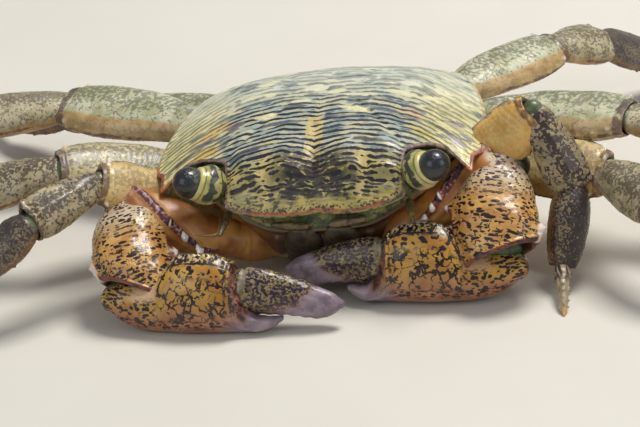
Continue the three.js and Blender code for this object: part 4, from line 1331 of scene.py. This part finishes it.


# Orange with a dark net on the side seen, curls above, dashes below and behind, pale toward the finger.
# The lower side's browner paint is painted shade, and the lilac toward the finger is darkened in part as
# painted shade.
def palmMaterial():
    material, shader, here = newMaterial("netted palm", 0.36, 0.3, 0.14)
    along, girth, share = numbers(here, "place")
    up = numbers(here, "facing")[0]
    rim, pale, knuckle = numbers(here, "marks")
    ground = drift(here, 0.35, "a87426", "c09640")
    # painted shade: the side turned down is a darker brown
    ground = mixed(above(up, 0.15, -0.6), ground, drift(here, 0.6, "8f5a38", "ab764e"))
    ground = mixed(times(above(up, 0.72, 0.95), 0.75), ground, drift(here, 0.9, "b09c68", "c9b88c"))
    # painted shade: the lilac toward the finger is darker than its own colour
    ground = mixed(pale, ground, drift(here, 0.7, "72606a", "94828a"))
    # the pale knob that the wrist plate turns on
    knob = times(above(share, 0.1, 0.18), above(share, 0.29, 0.27), above(up, 0.05, 0.4))
    ground = mixed(times(knob, 0.8), ground, paint("cfa888"))
    net = brokenNet(here, 1.05, 0.23, 0.38)
    dots = mottling(here, 0.4, 0.48, 0.035, 1.0)
    curls = mottling(here, 0.6, 0.44, 0.03, 1.5)
    dash = dashes(along, girth, 0.52, 0.32, 0.5)
    upper = above(up, 0.3, 0.55)
    pattern = mixed(upper, combine(net), combine(curls))
    behind = most(above(share, 0.3, 0.25), above(up, -0.45, -0.65))
    ink = split(mixed(behind, pattern, combine(dash)))[0]
    ink = most(ink, times(dots, above(up, 0.7, 0.85)))
    losses = ((pale, -1.0), (above(up, -0.7, -0.95), -0.9), (above(share, 0.7, 0.8), -0.8), (knob, -0.9))
    for place, loss in losses:
        ink = times(ink, grade(place, loss, 1.0))
    edge = times(rim, grade(noise(here, 1.6), 1.3, 0.2))
    ink = most(ink, above(edge, 0.42, 0.62))
    ground = mixed(knuckle, ground, drift(here, 1.1, "42181e", "9a6a50"))
    ground = mixed(ink, ground, mixed(upper, paint("1e0605"), paint("200a12")))
    wetSurface(shader, here, ground, ink, 0.36, 0.42, 0.42, 0.06)
    return material


# Olive at the root and lilac toward the tip, both darkened in part as painted shade, with wine-red blotches
# and dashes that fade to it.
def fingerMaterial():
    material, shader, here = newMaterial("mottled finger", 0.38, 0.25, 0.15)
    along, girth, _ = numbers(here, "place")
    ring, pale, _ = numbers(here, "marks")
    # painted shade: the olive and the lilac are darker than their own colours
    ground = drift(here, 0.8, "6e5838", "9a8454")
    blotch = mottling(here, 0.32, 0.49, 0.05, 1.5)
    dash = dashes(along, girth, 0.6, 0.3, 0.4)
    shake = grade(noise(here, 1.4, 3.0), 1.0, -0.5)
    light = above(plus(pale, shake), 0.2, 0.9)
    ground = mixed(light, ground, drift(here, 0.8, "705f6c", "94848f"))
    ink = times(most(blotch, dash), grade(above(light, 0.25, 0.9), -0.95, 1.0))
    wine = mixed(above(plus(pale, shake), 0.05, 0.6), paint("22152a"), paint("6a4254"))
    ground = mixed(ink, ground, wine)
    ground = mixed(times(ring, 0.8), ground, drift(here, 1.2, "8d8468", "b5a98a"))
    wetSurface(shader, here, ground, ink, 0.38, 0.36, 0.45, 0.06)
    return material


# Tan, cream near the elbow, crossed by dark dashes, with a wine-red rim, white tips and a green inside.
def wristMaterial():
    material, shader, here = newMaterial("dashed wrist plate", 0.38, 0.25, 0.15)
    along, girth, share = numbers(here, "place")
    cup = numbers(here, "facing")[2]
    rim, tip, top = numbers(here, "marks")
    ground = drift(here, 0.45, "b07c3c", "c99c58")
    high = above(share, 0.55, 0.08)
    ground = mixed(times(high, 0.85), ground, drift(here, 0.8, "bdb28e", "d6cdb2"))
    dash = dashes(girth, along, 0.66, 0.37, 0.44)
    small = dashes(girth, along, 0.46, 0.3, 0.42)
    spots = mottling(here, 0.36, 0.38, 0.035, 1.0)
    pattern = split(mixed(above(share, 0.3, 0.5), combine(small), combine(dash)))[0]
    ink = most(pattern, times(spots, above(share, 0.55, 0.8)))
    ink = times(ink, grade(tip, -1.0, 1.0))
    ground = mixed(times(top, 0.35), ground, paint("8c5a64"))
    ground = mixed(ink, ground, mixed(high, paint("200808"), paint("3a1c28")))
    edge = drift(here, 1.1, "421a20", "7c4028", 0.4, 0.6, 2.0)
    rim = times(rim, grade(noise(here, 0.9), 0.9, 0.35))
    ground = mixed(above(rim, 0.4, 0.7), ground, edge)
    ground = mixed(above(tip, 0.25, 0.75), ground, paint("e0cdc2"))
    ground = mixed(cup, ground, paint("35482f"))
    wetSurface(shader, here, ground, ink, 0.38, 0.4, 0.48, 0.07)
    return material


# Orange, darkened in part as painted shade under the body, mottled at its end, with a flecked wine-red
# crest and white teeth.
def armMaterial():
    material, shader, here = newMaterial("orange arm", 0.46, 0.15, 0.22)
    crest, tip, end = numbers(here, "marks")
    # painted shade: the orange is darker than its own colour, for the shade under the body
    ground = drift(here, 0.4, "a5672a", "c08c44")
    spots = mottling(here, 0.6, 0.45)
    pale = mixed(spots, paint("cbb99a"), paint("5c2f48"))
    ground = mixed(times(end, 0.9), ground, pale)
    ground = mixed(above(noise(here, 0.25), 0.45, 0.62), ground, drift(here, 0.6, "8a5226", "a36c38"))
    edge = drift(here, 1.0, "34162a", "743232", 0.42, 0.58, 2.0)
    flecks = mottling(here, 0.45, 0.42, 0.04, 1.0)
    edge = mixed(times(flecks, 0.6), edge, paint("b89a8e"))
    ground = mixed(above(crest, 0.35, 0.75), ground, edge)
    ground = mixed(above(tip, 0.2, 0.6), ground, paint("f0e6e2"))
    wetSurface(shader, here, ground, crest, 0.46, 0.5, 0.3, 0.04)
    return material


# The skin of a joint, as a rounded lump between two plates.
def makeJointSkin(centre, axis, alongD, alongB, alongN):
    polar = np.linspace(0, np.pi, 26)[:, None, None]
    turn = np.linspace(0, 2 * np.pi, 40, endpoint=False)[:, None]
    ring = np.cos(turn) * alongB * axis["b"] + np.sin(turn) * alongN * axis["n"]
    grid = centre - np.cos(polar) * alongD * axis["d"] + np.sin(polar) * ring
    return closedSkin(grid, {"place": grid})


def skinMaterial(name, deep, green):  # two drifting greens with faint brown spots
    material, shader, here = newMaterial(name, 0.4, 0.2, 0.18)
    ground = drift(here, 0.7, *deep)
    ground = mixed(above(noise(here, 0.35), 0.45, 0.6), ground, drift(here, 1.1, *green))
    spots = mottling(here, 0.6, 0.42, 0.06)
    wetSurface(shader, here, mixed(times(spots, 0.3), ground, paint("5e4a26")), spots, 0.4, 0.5, 0.3, 0.03)
    return material


# A claw's four pieces, and the skins of its wrist, elbow and finger joints as one piece.
def makeClaw(side):
    own, axes = claws[side], clawAxes(side)
    palmAxis, finger, wrist = axes["palm"], axes["dactyl"], axes["carpus"]
    arm = [makeArm(axes["merus"], side), *makeArmRoot(axes["ischium"], own["sign"])]
    pieces = [("palm_", [makePalm(palmAxis, own["finger"])], "palm", ["palm"]),
              ("finger_", [makeMovingFinger(finger)], "dactyl", ["dactyl"]),
              ("wrist_", [makeWristPlate(wrist, side)], "carpus", ["carpus"]),
              ("arm_", arm, "merus", ["merus", "ischium"])]
    for name, skins, part, nodes in pieces:
        nodes = ["claw_" + side + "_" + node for node in nodes]
        addPiece(name + side, skins, clawMaterials[part], nodes)
    shift, size = own["elbowSkin"]
    elbow = wrist["start"] + wrist["b"] * shift - wrist["n"] * 0.8
    skins = [makeJointSkin(wrist["start"] + wrist["d"] * (wrist["length"] - 0.4), wrist, 1.7, 3.4, 2.1),
             makeJointSkin(elbow, wrist, 2.0, size, 1.9),
             makeJointSkin(finger["start"], finger, 1.3, 1.9, 1.25)]
    addPiece("claw_joints_" + side, skins, jointSkin)


clawMaterials = {"palm": palmMaterial(), "dactyl": fingerMaterial(), "carpus": wristMaterial(),
                 "merus": armMaterial()}
jointSkin = skinMaterial("green joint skin", ("1b2618", "34482c"), ("223c28", "3c5c38"))
kneeSkin = skinMaterial("pale knee skin", ("39462e", "66714c"), ("56694a", "8f9b76"))
for side in claws:
    makeClaw(side)
print("made the claws")

# Walking legs. Knee, wrist, ankle and tip come from the CAD plates; the merus runs back from the knee
# on its bearing and elevation, and the broad side of every plate leans back by lean, all in degrees.
# dark, warm and plain tint the leg from 0 to 1; shank makes its shank deeper.
legs = {
    "leg2_left": {"merus": (-9, 45), "lean": 12, "dark": 0.9, "warm": 0.9, "plain": 1.0, "shank": 1.45},
    "leg2_right": {"merus": (-150, 28), "lean": 45, "dark": 0.7, "warm": 0.6, "plain": 0.6, "shank": 1.2},
    "leg3_left": {"merus": (-23, 3), "lean": 50, "dark": 0.45, "warm": 0.8, "plain": 0.5},
    "leg3_right": {"merus": (-153, 14), "lean": 60, "dark": 0.6, "warm": 0.5, "plain": 0.2},
    "leg4_left": {"merus": (-21, 7), "lean": 80, "dark": 0.3, "warm": 0.5, "plain": 0.0},
    "leg4_right": {"merus": (161, 1), "lean": 72, "dark": 0.3, "warm": 0.6, "plain": 0.0},
    "leg5_left": {"merus": (50, 0), "lean": 78, "dark": 0.35, "warm": 0.6, "plain": 0.0},
    "leg5_right": {"merus": (158, -9), "lean": 75, "dark": 0.35, "warm": 0.5, "plain": 0.0},
}
# Half breadth and half depth, the same on both sides.
legSizes = {"leg2": (2.9, 1.6), "leg3": (3.4, 1.7), "leg4": (3.8, 1.8), "leg5": (3.3, 1.6)}
# Outlines in shares of the leg's half breadth (up, down) and half depth (ahead, behind).
legOutlines = {
    "merus": [(0, 0.42, 0.42, 0.62, 0.62), (0.15, 0.58, 0.52, 0.85, 0.82), (0.45, 1.0, 0.8, 1, 0.95),
              (0.75, 1.05, 0.93, 1, 1), (0.92, 0.88, 0.8, 0.94, 0.92), (1, 0.68, 0.64, 0.82, 0.8)],
    "carpus": [(0.02, 0.55, 0.51, 0.72, 0.7), (0.1, 0.62, 0.56, 0.82, 0.78), (0.25, 0.7, 0.62, 0.94, 0.9),
               (0.6, 0.84, 0.76, 1, 0.98), (0.85, 0.84, 0.76, 0.98, 0.95), (0.97, 0.72, 0.68, 0.86, 0.84)],
    "propodus": [(0.02, 0.6, 0.56, 0.72, 0.7), (0.08, 0.68, 0.62, 0.8, 0.78),
                 (0.25, 0.8, 0.76, 0.9, 0.88), (0.55, 0.78, 0.76, 0.88, 0.86),
                 (0.88, 0.58, 0.57, 0.74, 0.72), (0.98, 0.46, 0.46, 0.62, 0.62)],
    "dactyl": [(0.02, 0.36, 0.35, 0.48, 0.48), (0.1, 0.38, 0.37, 0.52, 0.52), (0.3, 0.31, 0.3, 0.44, 0.44),
               (0.65, 0.2, 0.2, 0.32, 0.32), (0.9, 0.11, 0.11, 0.2, 0.2), (1, 0.03, 0.03, 0.05, 0.05)],
}
# What all legs share: how far joints and hips lie in from the plates' ends, the foot's bow in half
# breadths, and the rows and points round of a plate's mesh.
legSteps = {"jointInset": 0.45, "hipInset": 0.5, "footBow": 0.156, "rows": 110, "around": 72,
            "footAround": 40}
# The thigh's spines: share of its length, turn, radius and height.
thighSpines = [(0.95, 0.25, 0.55, 0.8), (0.94, np.pi - 0.35, 0.5, 0.5), (0.86, np.pi - 0.2, 0.45, 0.4),
               (0.78, np.pi - 0.1, 0.4, 0.3)]


def heading(bearing, elevation):  # the direction of a bearing and an elevation in degrees
    b, e = math.radians(bearing), math.radians(elevation)
    return np.array([math.cos(e) * math.cos(b), math.cos(e) * math.sin(b), math.sin(e)])


def legAxes(name):  # the frame of each plate of a leg, from its joints
    own = legs[name]
    points = {p: nodePoints(name + "_" + p) for p in ("merus", "carpus", "propodus", "dactyl")}
    tip = points["dactyl"][points["dactyl"][:, 2] < 0.01].mean(0)
    ankle = farthest(points["dactyl"], tip)
    wrist = farthest(points["propodus"], ankle)
    knee = farthest(points["carpus"], wrist)
    moved = lambda a, b: a + legSteps["jointInset"] * unit(b - a)
    ankle, wrist, knee = moved(ankle, tip), moved(wrist, ankle), moved(knee, wrist)
    out = heading(*own["merus"])
    hip = knee - out * (((knee - points["merus"]) @ out).max() - legSteps["hipInset"])
    lean = math.radians(own["lean"])
    upper = (0, math.sin(lean), math.cos(lean))
    joints = [hip, knee, wrist, ankle, tip + (0, 0, 0.1)]
    return {p: plateFrame(joints[i], joints[i + 1], upper) for i, p in enumerate(points)}


# What stands out on each plate of a leg: a thigh with raised edges, spines and fine steps, a ridged
# knee and shank with small spines, and a grooved foot with four rows of short ones.
def legRelief(part, length, tall, deep, seed):
    def place(t, turn):
        return stacked(t * length, np.cos(turn) * tall * 0.8, np.sin(turn) * deep)

    def merus(t, turn):
        flat = place(t, turn)
        upper = 0.3 * streak(turn, 0, 0.16) * smooth(t, 0.15, 0.4)
        lower = 0.22 * streak(turn, np.pi, 0.16) * smooth(t, 0.3, 0.6)
        lift, _ = teeth(t, turn, length, tall, thighSpines)
        run = (flat[..., 0] + 0.35 * flat[..., 1] + 0.3 * wander(flat, 1.5, seed + 1)) / 0.62
        behind = run % 1
        rough = 0.055 * smooth(behind, 0, 0.25) * (1 - behind)
        rough = rough * smooth(wander(flat, 0.9, seed + 2), -0.5, 0.1)
        rim = 0.08 * hump(t, 0.985, 0.015) - 0.07 * hump(t, 0.955, 0.015)
        return upper + lower + lift + rough + rim + 0.07 * wander(flat, 2.2, seed)

    def carpus(t, turn):
        flat = place(t, turn)
        ridges = 0.24 * streak(turn, 0.15, 0.2) + 0.2 * streak(turn, 1.45, 0.22)
        ridges = (ridges - 0.14 * streak(turn, 0.8, 0.3)) * smooth(t, 0.12, 0.4)
        spine, _ = teeth(t, turn, length, tall * 0.8, [(0.93, 0.15, 0.5, 0.5)])
        rim = 0.07 * hump(t, 0.955, 0.02) - 0.06 * hump(t, 0.92, 0.02)
        grains = np.maximum(wander(flat, 0.45, seed + 3), 0) + wander(flat, 1.6, seed)
        return ridges + spine + rim + 0.06 * grains

    def propodus(t, turn):
        flat = place(t, turn)
        ridges = 0.16 * streak(turn, 0, 0.2) + 0.12 * streak(turn, 1.6, 0.2)
        ridges = (ridges - 0.1 * streak(turn, 0.85, 0.3)) * smooth(t, 0.1, 0.3)
        spines = [(0.35 + 0.14 * i, np.pi - 0.3 + 0.6 * (i % 2), 0.28, 0.3) for i in range(5)]
        lift, _ = teeth(t, turn, length, tall * 0.55, spines)
        return ridges + lift + 0.07 * np.maximum(wander(flat, 0.4, seed + 4), 0)

    def dactyl(t, turn):
        grooves = -0.07 * (streak(turn, 0.8, 0.25) + streak(turn, 2.4, 0.25))
        spines = [(0.16 + 0.115 * i, a, 0.2, 0.26) for i in range(7) for a in (0.0, 1.57, 3.14, 4.71)]
        lift, _ = teeth(t, turn, length, tall * 0.22, spines)
        grooves = grooves * within(t, 0.05, 0.15, 0.8, 0.95)
        return grooves + lift * (1 - smooth(t, 0.85, 0.95))

    return {"merus": merus, "carpus": carpus, "propodus": propodus, "dactyl": dactyl}[part]


# Masks of a leg's plates: its edges and end, the tips of the thigh's spines, and the side turned down.
def legMarks(part, length, tall):
    def marks(t, turn):
        facing = -(np.sin(turn) + 0.3 * np.cos(turn))
        if part == "merus":
            facing = facing - 0.9 * np.cos(turn) + 0.15
        under = smooth(facing, -0.3, 0.4)
        edge = np.maximum(streak(turn, 0, 0.22), streak(turn, np.pi, 0.22))
        edge = edge * smooth(t, 0.2, 0.5)
        rim = np.maximum(edge, smooth(t, 0.93, 0.97)) if part != "dactyl" else smooth(t, 0.86, 0.94)
        _, tip = teeth(t, turn, length, tall, thighSpines[:2])
        return rim, tip if part == "merus" else 0, under

    return marks


# Drifting paints above and warmer ones below, plain yellow where tinted so, under blotches and a net.
def legMaterial(name, top, topPale, low, lowPale, ink, amount, size):
    material, shader, here = newMaterial(name, 0.42, 0.2, 0.18)
    up, ahead, cup = numbers(here, "facing")
    rim, tip, under = numbers(here, "marks")
    dark, warm, plain = numbers(here, "tint")
    ground = drift(here, 0.5, top, topPale)
    ground = mixed(times(dark, 0.75), ground, drift(here, 0.7, "6a5436", "9c8258"))
    shake = grade(noise(here, 0.6), 1.3, -0.65)
    belly = times(above(plus(under, shake), 0.25, 0.75), warm)
    ground = mixed(belly, ground, drift(here, 0.5, low, lowPale))
    bare = times(above(plus(ahead, shake), 0.0, 0.35), plain)
    ground = mixed(bare, ground, drift(here, 0.4, "d0a050", "e2bc70"))
    # the blotches crowd into a dark stripe below the upper edge and thin out on the edge itself
    stripe = times(above(up, 0.92, 0.6), above(up, -0.35, 0.1))
    crowd = grade(minus(plus(stripe, times(shake, 0.7)), 0.5), 0.16, amount)
    blotch = mottling(here, size * 0.55, crowd, 0.05, 1.5)
    net = brokenNet(here, size * 1.3, 0.12, 0.42)
    marking = times(most(blotch, net), grade(dark, 0.6, 0.4), grade(most(belly, bare), -0.85, 1.0))
    edge = times(rim, grade(noise(here, 1.3), 1.2, 0.1))
    ground = mixed(marking, ground, paint(ink))
    ground = mixed(times(above(edge, 0.45, 0.7), 0.75), ground, paint("4c2c2c"))
    ground = mixed(tip, ground, paint("ece2d4"))
    ground = mixed(cup, ground, paint("35482f"))
    wetSurface(shader, here, ground, marking, 0.42, 0.42, 0.45, 0.06)
    return material


# Sandy with dark dashes near the ankle and a horn-coloured tip.
def footMaterial():
    material, shader, here = newMaterial("sandy foot", 0.45, 0.2, 0.2)
    along, girth, share = numbers(here, "place")
    horn = numbers(here, "marks")[0]
    ground = drift(here, 0.7, "8f8266", "b7a988")
    dash = dashes(along, girth, 1.1, 0.4, 0.5)
    ground = mixed(times(dash, above(share, 0.7, 0.2)), ground, paint("3a2c33"))
    ground = mixed(horn, ground, paint("c79a52"))
    wetSurface(shader, here, ground, dash, 0.45, 0.3, 0.35, 0.04)
    return material


legMaterials = {
    "merus": legMaterial("mottled thigh", "a8ad86", "d2d3b6", "a8732c", "c4934a", "3c4038", 0.44, 0.9),
    "carpus": legMaterial("netted knee", "a49c7a", "c4bc9c", "a8732c", "c4934a", "2c1c22", 0.49, 0.7),
    "propodus": legMaterial("dark shank", "4c4850", "7c725e", "86603a", "a67c4c", "231d23", 0.58, 0.5),
    "dactyl": footMaterial(),
}


# Four plates, and the skins of the three joints as one piece.
def makeLeg(name, seed):
    own, steps, axes = legs[name], legSteps, legAxes(name)
    tall, deep = legSizes[name[:4]]
    bowed = lambda t: stacked(steps["footBow"] * tall * np.sin(np.pi * t) ** 1.2, 0 * t)
    for part, outlineShares in legOutlines.items():
        axis, foot = axes[part], part == "dactyl"
        table = scaled(outlineShares, tall, deep * (own.get("shank", 1) if part == "propodus" else 1))
        relief = legRelief(part, axis["length"], tall, deep, seed)
        marks = legMarks(part, axis["length"], tall)
        skin = loft(axis, table, steps["footAround"] if foot else steps["around"], steps["rows"], 2.2,
                    ("dome", "dome" if foot else "cup"), relief, bowed if foot else None, marks=marks)
        tint = (own["dark"], own["warm"], own["plain"] * (part == "merus"))
        skin["fields"]["tint"] = np.tile(tint, (len(skin["points"]), 1))
        addPiece(name + "_" + part + "_shell", [skin], legMaterials[part], [name + "_" + part])
    skins = []
    for part, size in (("carpus", 0.43), ("propodus", 0.46), ("dactyl", 0.3)):
        axis = axes[part]
        centre = axis["start"] - axis["d"] * 0.25
        skins.append(makeJointSkin(centre, axis, deep * 0.75, tall * size, deep * size * 1.45))
    addPiece(name + "_joints", skins, kneeSkin)


for seed, name in enumerate(legs):
    makeLeg(name, 20 + 5 * seed)
print("made the legs")

# The stage, in metres: a pale floor, three lamps turned to the crab, and a soft sky.
stage = {
    "floorHalf": 3.0, "lookAt": (0, 0, 0.008), "sky": (0.92, 0.95, 1, 1), "skyStrength": 0.3,
    "lamps": {
        "key": {"at": (0.12, 0.10, 0.42), "size": 0.16, "watts": 1.9, "tint": (1, 0.98, 0.94)},
        "fill": {"at": (-0.30, -0.42, 0.30), "size": 0.35, "watts": 0.6, "tint": (0.97, 0.98, 1)},
        "side": {"at": (0.42, -0.16, 0.22), "size": 0.25, "watts": 0.4, "tint": (1, 0.98, 0.96)},
    },
}


def floorMaterial():  # two close greys that drift over a few centimetres
    material, shader, here = newMaterial("pale floor", 0.75)
    colour(shader, mixed(noise(here, 0.05, 3.0), paint("cfcac0"), paint("d8d4ca")))
    return material


def makeFloor():  # one square, centred
    half = stage["floorHalf"]
    corners = [(-half, -half, 0), (half, -half, 0), (half, half, 0), (-half, half, 0)]
    data = bpy.data.meshes.new("floor")
    data.from_pydata(corners, [], [(0, 1, 2, 3)])
    data.materials.append(floorMaterial())
    floor = bpy.data.objects.new("floor", data)
    bpy.context.scene.collection.objects.link(floor)


def addLamp(name, at, size, watts, tint):  # a square lamp that faces the crab
    light = bpy.data.lights.new(name, "AREA")
    light.size = size
    light.energy = watts
    light.color = tint
    lamp = bpy.data.objects.new(name, light)
    lamp.location = at
    lamp.rotation_euler = (Vector(stage["lookAt"]) - Vector(at)).to_track_quat("-Z", "Y").to_euler()
    bpy.context.scene.collection.objects.link(lamp)


def makeSky():  # an even pale light from all round
    world = bpy.data.worlds.new("studio")
    world.use_nodes = True
    sky = world.node_tree.nodes["Background"].inputs
    sky["Color"].default_value = stage["sky"]
    sky["Strength"].default_value = stage["skyStrength"]
    bpy.context.scene.world = world


makeFloor()
for name, lamp in stage["lamps"].items():
    addLamp(name, **lamp)
makeSky()
bpy.context.scene.view_settings.view_transform = "Standard"
print("set the stage")
